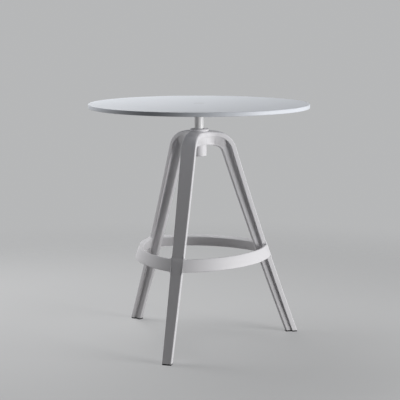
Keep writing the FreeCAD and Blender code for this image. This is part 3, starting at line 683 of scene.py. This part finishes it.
@dataclass
class Leg:
    """A cast leg with its third of the hub: a T section from the foot up, over the arch and into the hub.

    In the leg's own upright plane the first axis is the reach from the table's axis, and the second the
    height. The plate's outer face is a long slow arc up from the foot, then an arch about a centre below the
    hub's top, which runs out into the hub's low dome. The rib behind it ends on a nose that bows a little,
    and bends to a gentle slope under the hub.
    """

    name: str
    turn: float
    foot_level: float = 4.0
    foot_depth: float = 37.5
    foot_edge: float = 0.8
    hub_top: float = 673.0
    hub_depth: float = 40.0
    arch_reach: float = 50.0
    arch_radius: float = 70.0
    lean: float = 17.5
    curve_radius: float = 12040.0
    square_height: float = 70.0
    plate: float = 16.0
    plate_edge: float = 2.2
    half_width_top: float = 23.4
    half_width_foot: float = 14.85
    taper_height: float = 608.0
    ledge_height: float = 303.5
    ledge: float = 1.2
    ledge_run: float = 2.4
    hub_edge: float = 5.5
    hub_back: float = 1.0
    hub_crown: float = 1.6
    hub_dome: float = 3.6
    dome_span: tuple[float, float] = (20.0, 66.0)
    rib_half: float = 9.6
    rib_draft: float = 1.2
    rib_nose: float = 6.0
    rib_root: float = 2.6
    rib_start: float = 20.0
    rib_slope: float = 13.0
    rib_knee: float = 69.7
    rib_bend: float = 27.0
    rib_bow: float = 3.2
    web_angles: tuple[float, float] = (26.0, 64.0)
    core_inset: float = 2.0
    core_edge: float = 1.5
    core_root: float = 0.9
    crotch_radius: float = 70.0
    bore_radius: float = 19.05
    bore_share: float = 0.53
    joint_slack: float = 0.25
    leg_steps: int = 44
    arch_steps: int = 40
    hub_steps: int = 16
    face_steps: int = 12

    def arch_centre(self) -> Array:
        """Centre of the arch in the leg's plane."""
        return np.array([self.arch_reach, self.hub_top - self.arch_radius])

    def long_centre(self) -> Array:
        """Centre of the long arc, beyond the arch's end on the line from the arch's centre."""
        way = headings(math.radians(self.lean))
        return self.arch_centre() + (self.arch_radius + self.curve_radius) * way

    def foot_reach(self) -> float:
        """Reach of the outer face at the foot."""
        centre = self.long_centre()
        return centre[0] - math.sqrt(self.curve_radius ** 2 - (centre[1] - self.foot_level) ** 2)

    def half_width(self, height: Array) -> Array:
        """Half the plate's width at a height: a straight taper, even above its end."""
        share = np.clip((height - self.foot_level) / (self.taper_height - self.foot_level), 0.0, 1.0)
        return self.half_width_foot + share * (self.half_width_top - self.half_width_foot)

    def swell(self, reach: Array) -> Array:
        """Rise of the hub's domed top at a distance from the table's axis, gone on the arch's shoulder."""
        return self.hub_dome * (1.0 - smooth_step(reach, *self.dome_span))

    def long_arc(self) -> tuple[Array, Array]:
        """The outer face from the foot up to the arch.

        The arc is centred beyond the arch's end on the line from the arch's centre, so the two are tangent.
        Rays into the plate are level at the foot and turn square to the face within a short height.

        Returns:
            Points on the face and unit rays into the leg, each of shape (stations, 2).
        """
        centre = self.long_centre()
        foot_angle = math.asin((centre[1] - self.foot_level) / self.curve_radius)
        edge = self.foot_edge / self.curve_radius / math.cos(foot_angle)
        ledge_angle = math.asin((centre[1] - self.ledge_height) / self.curve_radius)
        ledge = self.ledge_run / self.curve_radius
        even = np.linspace(foot_angle - edge, math.radians(self.lean), self.leg_steps)
        angle = np.sort([foot_angle, *even, ledge_angle, ledge_angle - ledge])[::-1]
        points = centre - self.curve_radius * headings(angle)
        square = smooth_step(points[:, 1], self.foot_level + self.foot_edge, self.square_height)
        return points, -headings(angle * square)

    def arch(self) -> tuple[Array, Array]:
        """The outer face round the arch, with rays that all point at its centre.

        Returns:
            Points on the face and unit rays into the leg, between the long arc's end and the level.
        """
        angle = np.linspace(math.radians(self.lean), math.pi / 2, self.arch_steps + 1)[1:-1]
        outward = headings(angle)
        return self.arch_centre() + self.arch_radius * outward, -outward

    def nose_bend(self) -> tuple[Array, Array, Array, Array, float]:
        """The bend that joins the rib's sloping underside in the hub to its long run down the leg.

        Both runs meet in a knee. The bend is a circle tangent to both, so it starts and ends at the radius
        times the tangent of half the turn from the knee.

        Returns:
            The knee, the unit directions towards it under the hub and from it to the foot, the circle's
            centre, and the distance from the knee to either tangent point.
        """
        slope = math.radians(self.rib_slope)
        ahead = np.array([math.cos(slope), -math.sin(slope)])
        under = self.hub_top - self.hub_depth
        knee = np.array([self.rib_knee, under - (self.rib_knee - self.rib_start) * math.tan(slope)])
        foot = np.array([self.foot_reach() - self.foot_depth, self.foot_level])
        along = (foot - knee) / np.linalg.norm(foot - knee)
        turn = math.acos(float(ahead @ along))
        set_back = self.rib_bend * math.tan(turn / 2)
        inward = np.array([-math.sin(slope), -math.cos(slope)])
        return knee, ahead, along, knee - ahead * set_back + inward * self.rib_bend, set_back

    def underside(self, reach: Array) -> Array:
        """How far the rib hangs below the hub's level underside.

        Args:
            reach: Distances from the table's axis, all inside the knee.

        Returns:
            The drop at each distance: the slope's, and past the bend's start the bend's.
        """
        knee, _, _, centre, set_back = self.nose_bend()
        slope = math.radians(self.rib_slope)
        straight = np.maximum(reach - self.rib_start, 0.0) * math.tan(slope)
        round_level = centre[1] + np.sqrt(np.maximum(self.rib_bend ** 2 - (reach - centre[0]) ** 2, 0.0))
        bent = self.hub_top - self.hub_depth - round_level
        return np.where(reach > knee[0] - set_back * math.cos(slope), bent, straight)

    def nose_depth(self, points: Array, rays: Array) -> Array:
        """Depth of the rib's nose along each ray.

        The nose runs down to the foot on a line that bows inward a little, by 4h q(1 - q) at the part q of
        its length, from a bend under the arch. A ray meets that line, the bend's circle or the line under
        the hub, whichever its place says.

        Args:
            points: Where the rays start, shape (stations, 2).
            rays: Unit rays, shape (stations, 2).

        Returns:
            Depth of the nose along each ray.
        """
        knee, ahead, along, bend_centre, set_back = self.nose_bend()

        def to_run(way: Array) -> tuple[Array, Array]:
            """Depth of a line through the knee along each ray, and how far past the knee they meet."""
            depth = cross(knee - points, way) / cross(rays, way)
            return depth, (points + rays * depth[:, None] - knee) @ way

        to_line, from_knee = to_run(along)
        to_under, past_knee = to_run(ahead)
        past = points - bend_centre
        half = np.sum(past * rays, axis=1)
        inside = half ** 2 - np.sum(past ** 2, axis=1) + self.rib_bend ** 2
        to_bend = -half - np.sqrt(np.maximum(inside, 0.0))
        length = (self.foot_level - knee[1]) / along[1]
        part = np.clip((from_knee - set_back) / (length - set_back), 0.0, 1.0)
        bow = 4.0 * self.rib_bow * part * (1.0 - part)
        near = np.where(past_knee <= -set_back, to_under, to_bend)
        return np.where(from_knee >= set_back, to_line + bow, near)

    def section(self, points: Array, rays: Array, on_arch: Array, in_hub: Array) -> TeeSection:
        """Sizes of the section at every station of the leg, and then through the hub.

        Over the arch a size changes from the leg's to the hub's by a smooth step of the arch's angle. The
        plate's thickness is measured square to the face.

        Args:
            points: Stations on the outer face, shape (stations, 2).
            rays: Unit rays into the leg, shape (stations, 2).
            on_arch: True for the stations on the arch.
            in_hub: Part of the way through the hub, for the stations there.

        Returns:
            The section, with a row for each station.
        """
        from_centre = points - self.arch_centre()
        angle = np.degrees(np.arctan2(from_centre[:, 1], from_centre[:, 0]))
        hub = np.where(on_arch, smooth_step(angle, *self.web_angles), 0.0)
        normal = np.where(on_arch[:, None], -rays, (self.long_centre() - points) / self.curve_radius)
        slope = np.sum(normal * -rays, axis=1)
        spread = smooth_step(in_hub, 0.0, 1.0)

        def along(values: Array, hub_values: Array | float) -> Array:
            """A size at every station: its values on the leg, then its values through the hub."""
            return np.concatenate([values, hub_values + 0.0 * in_hub])[:, None]

        def changed(on_leg: float, at_hub: float, less: Array | float = 0.0) -> Array:
            """A size that changes over the arch and is even through the hub, cut down a little on the leg."""
            return along(on_leg + hub * (at_hub - on_leg) - less, at_hub)

        trim = np.zeros(len(points))
        trim[0] = self.foot_edge
        above_ledge = points[:, 1] > self.ledge_height + self.ledge_run / 2
        core_half = self.half_width_top - self.core_inset
        nose_half = self.rib_half - self.rib_draft
        nose = self.rib_nose + spread * (self.core_edge - self.rib_nose)
        return TeeSection(
            face=along(np.where(above_ledge, self.ledge * (1.0 - hub), 0.0) + trim, 0.0),
            crown=changed(0.0, self.hub_crown),
            width=along(self.half_width(points[:, 1]) - trim, self.half_width_top),
            plate=along(self.plate / slope - trim, self.plate),
            edge=changed(self.plate_edge, self.hub_edge),
            back=changed(self.plate_edge, self.hub_back),
            root=changed(self.rib_root, self.core_root),
            rib=changed(self.rib_half, core_half, trim),
            nose_half=along(nose_half - trim, nose_half + spread * (core_half - nose_half)),
            nose=along(self.rib_nose + 0.0 * trim, nose),
            depth=along(self.nose_depth(points, rays) - trim, self.hub_depth),
            face_steps=self.face_steps,
        )

    def hub_plan(self, share: Array, inset: Array, station: Array) -> Array:
        """Places in plan of the hub's third, on a sheet spanned between its four sides.

        The sides are the leg's own end across, the round crotch, the joint's face together with the bore,
        and the middle line. The crotch arc grows by the inset. A point is the two ruled sheets between
        opposite sides, added, less the straight-sided sheet through the corners.

        Args:
            share: Part of the way from the middle line to the side.
            inset: How far inside the plate's side the point's run lies.
            station: Part of the way from the leg to the bore.

        Returns:
            Array of x and y, with a last axis of length 2.
        """
        half = math.radians(THIRD_HALF)
        joint_way = headings(half)
        centre = (self.half_width_top + self.crotch_radius) / math.sin(half) * joint_way
        first = -math.pi / 2 - math.asin((centre[0] - self.arch_reach) / self.crotch_radius)
        last = half - math.pi

        def crotch(part: Array) -> Array:
            """The crotch arc at a part of its length."""
            return centre + (self.crotch_radius + inset[..., None]) * headings(first + (last - first) * part)

        near, far = crotch(np.zeros_like(share)), crotch(np.ones_like(share))
        edge = crotch(station)
        leg_middle = np.array([self.arch_reach, 0.0])
        bore_middle = np.array([self.bore_radius, 0.0])
        bore = self.bore_radius * headings(half * np.clip(share / self.bore_share, 0.0, 1.0))
        joint_share = np.clip((share - self.bore_share) / (1.0 - self.bore_share), 0.0, 1.0)[..., None]
        end = bore + joint_share * (far - self.bore_radius * joint_way)
        slack = 1.0 - station * self.joint_slack / THIRD_HALF
        share, station = share[..., None], station[..., None]
        start = leg_middle + share * (near - leg_middle)
        middle = leg_middle + station * (bore_middle - leg_middle)
        corners = (1 - share) * middle + share * (near + station * (far - near))
        sheet = (1 - station) * start + station * end + (1 - share) * middle + share * edge - corners
        angle = np.arctan2(sheet[..., 1], sheet[..., 0]) * slack
        return np.hypot(sheet[..., 0], sheet[..., 1])[..., None] * headings(angle)

    def shell(self) -> Shell:
        """Carries the section along the leg and through the hub, and closes it at the foot and at the bore.

        In the hub a point below the plate hangs lower by its share of the rib's slope. A point above the
        plate's back rises by its share of the dome.

        Returns:
            The closed shell.
        """
        long_points, long_rays = self.long_arc()
        arch_points, arch_rays = self.arch()
        points = np.concatenate([long_points, arch_points])
        rays = np.concatenate([long_rays, arch_rays])
        count = len(points)
        on_arch = np.arange(count) >= len(long_points)
        in_hub = np.linspace(0.0, 1.0, self.hub_steps + 1)
        across, deep, limit = self.section(points, rays, on_arch, in_hub).half_loop()
        reach = points[:, 0, None] + rays[:, 0, None] * deep[:count]
        height = points[:, 1, None] + rays[:, 1, None] * deep[:count]
        leg = np.stack([reach, across[:count], height], axis=-1)
        station = np.broadcast_to(in_hub[:, None], across[count:].shape)
        plan = self.hub_plan(across[count:] / limit[count:], self.half_width_top - limit[count:], station)
        hanging = np.clip((deep[count:] - self.plate) / (self.hub_depth - self.plate), 0.0, 1.0)
        level = self.hub_top - deep[count:] - hanging * self.underside(plan[..., 0])
        half = np.concatenate([leg, np.concatenate([plan, level[..., None]], axis=-1)])
        upper = np.clip(1.0 - deep / self.plate, 0.0, 1.0)
        half[..., 2] += self.swell(np.hypot(half[..., 0], half[..., 1])) * upper
        mirror = half[:, -2:0:-1] * np.array([1.0, -1.0, 1.0])
        rings = np.concatenate([half, mirror], axis=1)
        return loft(turned(rings, self.turn), self.bore_cap(half.shape[1]))

    def bore_cap(self, count: int) -> list[list[int]]:
        """Faces over the last section, in columns from its upper run down to its lower run.

        Args:
            count: Points in half a section.

        Returns:
            Faces as places in the ring. The outermost column on each side takes in the points of the side.
        """
        whole = 2 * count - 2
        faces = []
        for step in range(self.face_steps - 1):
            low = count - 1 - step
            upper = [(whole - step - 1) % whole, (whole - step) % whole]
            faces.append([step, step + 1, low - 1, low])
            faces.append([*upper, (whole - low) % whole, whole - low + 1])
        side = list(range(self.face_steps - 1, count - self.face_steps + 1))
        faces.append(side)
        faces.append([whole - place for place in side[::-1]])
        return faces

    def build(self, shop: Workshop) -> None:
        """Makes the leg's piece."""
        shop.piece(f"leg_{self.name}_casting", self.shell(), Slot.FRAME_COAT, Body.BASE, f"leg_{self.name}")


@dataclass
class RingLength:
    """One length of the ring band: a leaning strip on a round path, with fillets where it meets the legs."""

    name: str
    turn: float
    leg: Leg
    top: float = 304.0
    mid_reach: float = 191.0
    curve_radius: float = 296.7
    slant: float = 19.2
    face: float = 41.0
    inner_face: float = 34.0
    thickness: float = 15.0
    edge: float = 2.6
    upper_fillet: float = 12.0
    lower_fillet: float = 9.0
    overlap: float = 0.3
    leg_half: float = 18.5
    steps: int = 60
    fillet_points: int = 9

    def section(self) -> Array:
        """The strip's outline with softened edges.

        Returns:
            Distance down the strip's face and depth into it, shape (points, 2).
        """
        step = (self.face - self.inner_face) / 2
        return rounded_outline([
            (0.0, 0.0, self.edge), (self.face / 3, 0.0, 0.0), (self.face * 2 / 3, 0.0, 0.0),
            (self.face, 0.0, self.edge), (self.face - step, self.thickness, self.edge),
            (self.face / 2, self.thickness, 0.0), (step, self.thickness, self.edge),
        ])

    def shell(self) -> Shell:
        """Carries the section round the band's own axis, from one leg's side face to the next.

        A point of the section at radius R and height z ends where R sin(half - a) equals the side face's
        distance from the band's axis. Near the ends the section grows up and down by
        r - sqrt(r^2 - (r - x)^2), a fillet of radius r at distance x from the leg.

        Returns:
            The closed shell.
        """
        half, slant = math.radians(THIRD_HALF), math.radians(self.slant)
        set_back = self.curve_radius - self.mid_reach
        offset = set_back * math.sin(half)
        length = self.curve_radius * (half - math.asin((offset + self.leg_half) / self.curve_radius))
        fillet = max(self.upper_fillet, self.lower_fillet)
        ends = fillet * (1.0 - np.sin(quarter(self.fillet_points)[::-1])) / length
        inner = np.linspace(ends[-1], 2.0 - ends[-1], self.steps)[1:-1]
        part = np.concatenate([ends, inner, (2.0 - ends)[::-1]])
        from_end = np.minimum(part, 2.0 - part) * length

        def growth(radius: float) -> Array:
            """Extra height of a fillet of that radius at each station."""
            short = np.clip(radius - from_end, 0.0, radius)
            return (radius - np.sqrt(radius ** 2 - short ** 2))[:, None]

        above, below = growth(self.upper_fillet), growth(self.lower_fillet)
        face, deep = self.section().T
        down = -above + face * (self.face + above + below) / self.face
        radius = self.curve_radius + down * math.sin(slant) - deep * math.cos(slant)
        height = self.top - down * math.cos(slant) - deep * math.sin(slant)
        side = self.leg.half_width(height) - self.overlap
        angle = (part[:, None] - 1.0) * (half - np.arcsin((side + offset) / radius))
        rings = round_points(radius, angle, height) - np.array([set_back, 0.0, 0.0])
        return loft(turned(rings, self.turn))

    def build(self, shop: Workshop) -> None:
        """Makes the length's piece."""
        shop.piece(f"ring_{self.name}_band", self.shell(), Slot.FRAME_COAT, Body.BASE, f"ring_{self.name}")


@dataclass
class Top:
    """The round sheet, and the cast flange that holds it to the post."""

    rim: float = 350.0
    height: float = 762.0
    thickness: float = 13.0
    edge: float = 2.0
    cap_radius: float = 18.05
    cap_depth: float = 4.0
    cap_edge: float = 0.5
    hole: float = 12.0
    flat_steps: int = 8
    edge_points: int = 7
    columns: int = 288
    flange_radius: float = 75.0
    flange_thickness: float = 6.0
    flange_edge: float = 2.0
    flange_upper_edge: float = 0.6
    flange_bore: float = 4.05
    flange_columns: int = 128
    post_bore: float = 14.35
    post_bore_edge: float = 0.4
    boss_top: float = 26.0
    boss_end: float = 20.0
    boss_depth: float = 22.0
    boss_root: float = 7.0
    boss_edge: float = 1.5
    boss_points: int = 8
    screw_circle: float = 116.0
    screw_turns: tuple[float, ...] = (0.0, 60.0, 120.0, 180.0, 240.0, 300.0)

    def sheet_under(self) -> float:
        """Height of the sheet's underside."""
        return self.height - self.thickness

    def flange_under(self) -> float:
        """Height of the flange's underside."""
        return self.sheet_under() - self.flange_thickness

    def sheet(self) -> Shell:
        """The sheet's profile turned: round edges at the rim, and a seat for the cap in the middle.

        Returns:
            The closed shell.
        """
        under = self.sheet_under()
        seat = self.height - self.cap_depth
        flats = np.linspace(0.0, 1.0, self.flat_steps + 1)[1:-1]
        upper = [(self.rim - (self.rim - self.cap_radius) * part, self.height, 0.0) for part in flats]
        lower = [(self.hole + (self.rim - self.hole) * part, under, 0.0) for part in flats]
        corners = [
            (self.hole, under, 0.0), *lower, (self.rim, under, self.edge),
            (self.rim, self.height, self.edge), *upper, (self.cap_radius, self.height, self.cap_edge),
            (self.cap_radius, seat, 0.0), (self.hole, seat, 0.0),
        ]
        return lathe(rounded_outline(corners, self.edge_points), self.columns)

    def flange(self) -> Shell:
        """The flange's profile turned: a disc, a fillet, and a conical boss bored for the post.

        Returns:
            The closed shell.
        """
        upper, under = self.sheet_under(), self.flange_under()
        end = under - self.boss_depth
        corners = [
            (self.flange_bore, upper, 0.0), (self.flange_radius, upper, self.flange_upper_edge),
            (self.flange_radius, under, self.flange_edge), (self.boss_top, under, self.boss_root),
            (self.boss_end, end, self.boss_edge), (self.post_bore, end, self.post_bore_edge),
            (self.post_bore, under, 0.0), (self.flange_bore, under, 0.0),
        ]
        return lathe(rounded_outline(corners, self.boss_points), self.flange_columns)

    def build(self, shop: Workshop) -> None:
        """Makes the sheet's and the flange's pieces."""
        shop.piece("tabletop_sheet", self.sheet(), Slot.TOP_SHEET, Body.TOP, "tabletop")
        shop.piece("top_flange_casting", self.flange(), Slot.FRAME_COAT, Body.TOP, "top_flange")


@dataclass
class Spindle:
    """The post: a smooth shank, a shoulder, a screw thread and a journal at the lower end."""

    upper_end: float
    upper_band: float = 20.0
    post_radius: float = 14.3
    shoulder: float = 680.0
    thread_radius: float = 13.0
    thread_depth: float = 2.2
    groove_floor: float = 0.75
    flank_slope: float = 0.41
    pitch: float = 6.0
    turns: float = 10.0
    journal_top: float = 617.0
    journal_base: float = 607.4
    journal_radius: float = 9.0
    edge: float = 0.8
    rows_in_pitch: int = 24
    columns: int = 96

    def shell(self) -> Shell:
        """A surface whose radius depends on the height and on the angle round the post.

        Down the thread the radius is the thread's less a groove of trapezoid section, read at the height's
        distance from the nearest turn of a right-hand helix: z - start - pitch * angle / full turn, to the
        nearest whole pitch. Above and below, the radius is that of the turned profile.

        Returns:
            The closed shell.
        """
        angle = around(self.columns)
        count = int(round((self.shoulder - self.journal_top) / self.pitch * self.rows_in_pitch))
        height = np.linspace(self.journal_top, self.shoulder, count)[:, None]
        start = self.journal_top - self.pitch / 2
        turns = (height - start) / self.pitch - angle / FULL_TURN
        off = np.abs(turns - np.clip(np.round(turns), 0, self.turns)) * self.pitch
        mouth = self.groove_floor + self.thread_depth * self.flank_slope
        groove = np.clip((mouth - off) / (mouth - self.groove_floor), 0.0, 1.0)
        thread = self.thread_radius - self.thread_depth * groove
        below = np.array([
            (0.0, self.journal_base), (self.journal_radius - self.edge, self.journal_base),
            (self.journal_radius, self.journal_base + self.edge), (self.journal_radius, self.journal_top),
        ])
        above = np.array([
            (self.post_radius - self.edge / 2, self.shoulder),
            (self.post_radius, self.shoulder + self.edge / 2),
            (self.post_radius, self.upper_end - self.upper_band),
            (self.post_radius, self.upper_end), (0.0, self.upper_end),
        ])
        even = np.ones(self.columns)
        radius = np.concatenate([below[:, :1] * even, thread, above[:, :1] * even])
        level = np.concatenate([below[:, 1:], height, above[:, 1:]])
        return wrapped(round_points(radius, angle, level), poles=True)

    def build(self, shop: Workshop) -> None:
        """Makes the post's piece."""
        shop.piece("spindle_post", self.shell(), Slot.POST_COAT, Body.TOP, "spindle")


@dataclass
class Collar:
    """The sleeve through the hub, whose flange is the round-shouldered collar under the post."""

    base: float = 599.0
    foot: float = 670.0
    top: float = 683.0
    nut_base: float = 657.0
    barrel: float = 19.0
    chamber: float = 15.5
    seat: float = 16.55
    radius: float = 30.0
    foot_edge: float = 1.5
    shoulder_span: float = 13.0
    shoulder_rise: float = 5.5
    shoulder_points: int = 28
    key_half: float = 2.0
    key_depth: float = 1.8
    screw_circle: float = 49.0
    pocket: float = 4.55
    pocket_wall: float = 0.35
    pocket_floor: float = 679.2
    columns: int = 360

    def shell(self) -> Shell:
        """The sleeve's profile turned, with a keyway up its chamber and a flat pocket for each screw's head.

        The collar's shoulder is a quarter of an ellipse. The chamber's radius is larger by the key's depth
        where a point lies within half the key's width of +X. A point above the pockets' floor comes down to
        it near a screw's axis. Round the pocket it rises again by a smooth step of the distance from there.

        Returns:
            The closed shell.
        """
        arc = quarter(self.shoulder_points)
        reach = self.radius - self.shoulder_span * (1.0 - np.cos(arc))
        level = self.top - self.shoulder_rise * (1.0 - np.sin(arc))
        profile = rounded_outline([
            (self.chamber, self.base, 0.0), (self.barrel, self.base, 0.0), (self.barrel, self.foot, 0.0),
            (self.radius, self.foot, self.foot_edge), *zip(reach, level, 0.0 * arc),
            (self.seat, self.top, 0.0), (self.seat, self.nut_base, 0.0), (self.chamber, self.nut_base, 0.0),
        ])
        angle = around(self.columns)
        in_key = (np.abs(self.chamber * np.sin(angle)) < self.key_half) & (np.cos(angle) > 0.0)
        radius = profile[:, :1] + self.key_depth * (in_key & (profile[:, :1] <= self.chamber))
        height = np.broadcast_to(profile[:, 1:], radius.shape)
        place = radius[..., None] * headings(angle)
        axes = self.screw_circle / 2 * headings(np.radians(list(LEG_TURNS.values())))
        away = np.min(np.linalg.norm(place[:, :, None] - axes, axis=-1), axis=-1)
        rise = smooth_step(away, self.pocket, self.pocket + self.pocket_wall)
        sunk = np.minimum(height, self.pocket_floor + rise * (height - self.pocket_floor))
        height = np.where(height > self.pocket_floor, sunk, height)
        return wrapped(round_points(radius, angle, height), poles=False)

    def build(self, shop: Workshop) -> None:
        """Makes the sleeve's piece."""
        shop.piece("hub_sleeve_collar", self.shell(), Slot.FRAME_COAT, Body.BASE, "hub_sleeve")


@dataclass
class SocketScrews:
    """Screws with domed heads and hexagon sockets, set round a circle."""

    name: str
    body: Body
    circle: float
    turns: tuple[float, ...]
    seat: float
    points_up: bool
    length: float
    diameter: float = 5.0
    tip_edge: float = 0.6
    head: float = 9.0
    head_height: float = 3.2
    head_edge: float = 0.2
    dome: float = 0.9
    dome_points: int = 6
    lip_share: float = 1.25
    socket: float = 3.0
    socket_depth: float = 1.7
    mouth_share: float = 1.04
    mouth_drop: float = 0.12
    wall_share: float = 0.97
    wall_drop: float = 0.35
    drill_tip: float = 0.3
    columns: int = 48

    def one(self) -> Array:
        """Points of one screw about its own axis, its head above zero and its shank below.

        Every row is a circle, apart from the socket's, whose radius is that of a hexagon: half its width
        across flats divided by the cosine of the angle from the nearest flat's middle.

        Returns:
            Array of shape (rows, columns, 3).
        """
        angle = around(self.columns)
        sixth = math.pi / 3
        hexagon = self.socket / 2 / np.cos((angle + sixth / 2) % sixth - sixth / 2)
        outer, shank = self.head / 2, self.diameter / 2
        lip = self.socket / 2 * self.lip_share
        arc = quarter(self.dome_points)
        dome_radius = lip + (outer - lip) * np.cos(arc)
        dome_height = self.head_height - self.dome + self.dome * np.sin(arc)
        floor = self.head_height - self.socket_depth
        plain = np.array([
            (0.0, -self.length), (shank - self.tip_edge, -self.length), (shank, self.tip_edge - self.length),
            (shank, 0.0), (outer - self.head_edge, 0.0), (outer, self.head_edge),
            *zip(dome_radius, dome_height),
        ])
        socket = np.array([
            (self.mouth_share, self.head_height - self.mouth_drop),
            (self.wall_share, self.head_height - self.wall_drop),
            (self.wall_share, floor), (0.0, floor - self.drill_tip),
        ])
        radius = np.concatenate([plain[:, :1] * np.ones(self.columns), socket[:, :1] * hexagon])
        return round_points(radius, angle, np.concatenate([plain[:, 1:], socket[:, 1:]]))

    def build(self, shop: Workshop) -> None:
        """Makes all the screws as one piece.

        Args:
            shop: Where the piece is made.
        """
        way = 1.0 if self.points_up else -1.0
        screw = self.one() * np.array([1.0, way, way]) + np.array([self.circle / 2, 0.0, self.seat])
        whole = reduce(Shell.joined, [wrapped(turned(screw, turn), poles=True) for turn in self.turns])
        shop.piece(f"{self.name}_set", whole, Slot.ZINC_STEEL, self.body, self.name)


@dataclass(frozen=True)
class Lamp:
    """A soft panel that looks at the table's middle, placed by its direction from there.

    A panel that isn't mirrored lights the table without showing as glare in its top.
    """

    name: str
    azimuth: float
    elevation: float
    distance: float
    width: float
    height: float
    watts: float
    mirrored: bool = True


@dataclass
class Studio:
    """Pale floor, soft light and the camera."""

    floor_tint: Colour = (0.66, 0.66, 0.665)
    floor_bounce: Colour = (0.24, 0.235, 0.23)
    floor_roughness: float = 0.9
    floor_gloss: float = 0.2
    floor_glow: float = 0.55
    floor_radius: float = 9.0
    floor_columns: int = 64
    fade: tuple[float, float] = (0.9, 2.2)
    backdrop: Colour = (0.47, 0.475, 0.48)
    sky: Colour = (0.93, 0.96, 1.0)
    ambient: float = 0.055
    focal_pixels: float = 1144.8
    frame_pixels: int = 400
    sensor_mm: float = 36.0
    distance: float = 3.625
    eye_height: float = 1.037
    azimuth: float = 17.2
    pitch: float = 9.17
    yaw: float = -0.048
    look_at: float = 0.42
    lamps: tuple[Lamp, ...] = (
        Lamp("key", 83.0, 10.5, 2.8, 1.3, 0.6, 36.0, mirrored=False),
        Lamp("low_key", 83.0, 0.0, 2.8, 1.3, 0.62, 30.5),
        Lamp("fill", -92.0, 14.0, 2.2, 1.0, 1.3, 22.0, mirrored=False),
        Lamp("overhead", -125.0, 58.0, 1.9, 1.2, 1.2, 23.0),
    )

    def floor(self) -> None:
        """A round floor, pale where it is seen, dull where it throws light back, and clear from below."""
        rim = round_points(self.floor_radius, around(self.floor_columns), 0.0)
        mesh = bpy.data.meshes.new("studio_floor")
        mesh.from_pydata(rim.tolist(), [], [list(range(self.floor_columns))])
        graph = SurfaceGraph("studio_floor")
        graph.surface(
            Base_Color=self.floor_tint, Roughness=self.floor_roughness, Specular_IOR_Level=self.floor_gloss,
        )
        dull = graph.wire("ShaderNodeBsdfDiffuse", {}, {"Color": self.floor_bounce})
        glow = graph.wire("ShaderNodeEmission", {}, {"Color": self.backdrop})
        pale = graph.blended(self.floor_glow, graph.shader, glow)
        ground = graph.blended(graph.seen(), dull, pale)
        spread = graph.wire("ShaderNodeVectorMath", {"operation": "LENGTH"}, {0: graph.place}, "Value")
        below = graph.wire("ShaderNodeNewGeometry", {}, {}, "Backfacing")
        hidden = 1.0 - (1.0 - spread.step(*self.fade)) * (1.0 - below)
        clear = graph.wire("ShaderNodeBsdfTransparent", {}, {})
        graph.feed(graph.output.inputs["Surface"], graph.blended(hidden, ground, clear))
        mesh.materials.append(graph.material)
        made = placed("studio_floor", mesh)

    def world(self) -> None:
        """Even light from all round, and a pale backdrop where a ray that shows goes past the table."""
        world = bpy.data.worlds.new("studio")
        bpy.context.scene.world = world
        graph = Graph(world)
        light = graph.wire("ShaderNodeBackground", {}, {"Color": self.sky, "Strength": self.ambient})
        backdrop = graph.wire("ShaderNodeBackground", {}, {"Color": self.backdrop})
        graph.node("ShaderNodeOutputWorld", {}, {"Surface": graph.blended(graph.seen(), light, backdrop)})

    def lights(self) -> None:
        """Soft panels that look at the table's middle."""
        target = Vector((0.0, 0.0, self.look_at))
        for lamp in self.lamps:
            data = bpy.data.lights.new(f"studio_{lamp.name}", "AREA")
            data.shape = "RECTANGLE"
            data.size = lamp.width
            data.size_y = lamp.height
            data.energy = lamp.watts
            made = placed(f"studio_{lamp.name}", data)
            across, up = math.radians(lamp.azimuth), math.radians(lamp.elevation)
            way = Vector((math.sin(across) * math.cos(up), -math.cos(across) * math.cos(up), math.sin(up)))
            made.location = target + way * lamp.distance
            made.rotation_mode = "QUATERNION"
            made.rotation_quaternion = way.to_track_quat("Z", "Y")
            made.visible_glossy = lamp.mirrored

    def camera(self) -> None:
        """The camera at the photograph's place, for a square frame."""
        data = bpy.data.cameras.new("studio_camera")
        data.sensor_width = self.sensor_mm
        data.lens = self.focal_pixels / self.frame_pixels * self.sensor_mm
        made = placed("studio_camera", data)
        across = math.radians(self.azimuth)
        east, south = math.sin(across) * self.distance, math.cos(across) * self.distance
        made.location = (east, -south, self.eye_height)
        made.rotation_euler = (math.radians(90.0 - self.pitch), 0.0, across + math.radians(self.yaw))
        bpy.context.scene.camera = made

    def build(self) -> None:
        """Sets up camera, floor and light, with colours shown as they are."""
        bpy.context.scene.view_settings.view_transform = "Standard"
        self.camera()
        self.floor()
        self.world()
        self.lights()


def main() -> None:
    """Builds the studio and every sub-assembly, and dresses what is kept."""
    logging.basicConfig(level=logging.INFO, format="%(message)s")
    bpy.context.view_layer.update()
    Studio().build()
    shop = Workshop()
    legs = [Leg(name, turn) for name, turn in LEG_TURNS.items()]
    rings = [RingLength(name, turn, legs[0]) for name, turn in RING_TURNS.items()]
    top, collar = Top(), Collar()
    flange_screws = SocketScrews(
        "flange_screws", Body.TOP, top.screw_circle, top.screw_turns, top.flange_under(),
        points_up=False, length=14.9,
    )
    collar_screws = SocketScrews(
        "collar_screws", Body.BASE, collar.screw_circle, tuple(LEG_TURNS.values()), collar.pocket_floor,
        points_up=True, length=22.0, dome=1.3,
    )
    for part in (*legs, *rings, top, Spindle(top.flange_under()), collar, flange_screws, collar_screws):
        part.build(shop)
    shop.dress_rest()


if __name__ == "__main__":
    main()
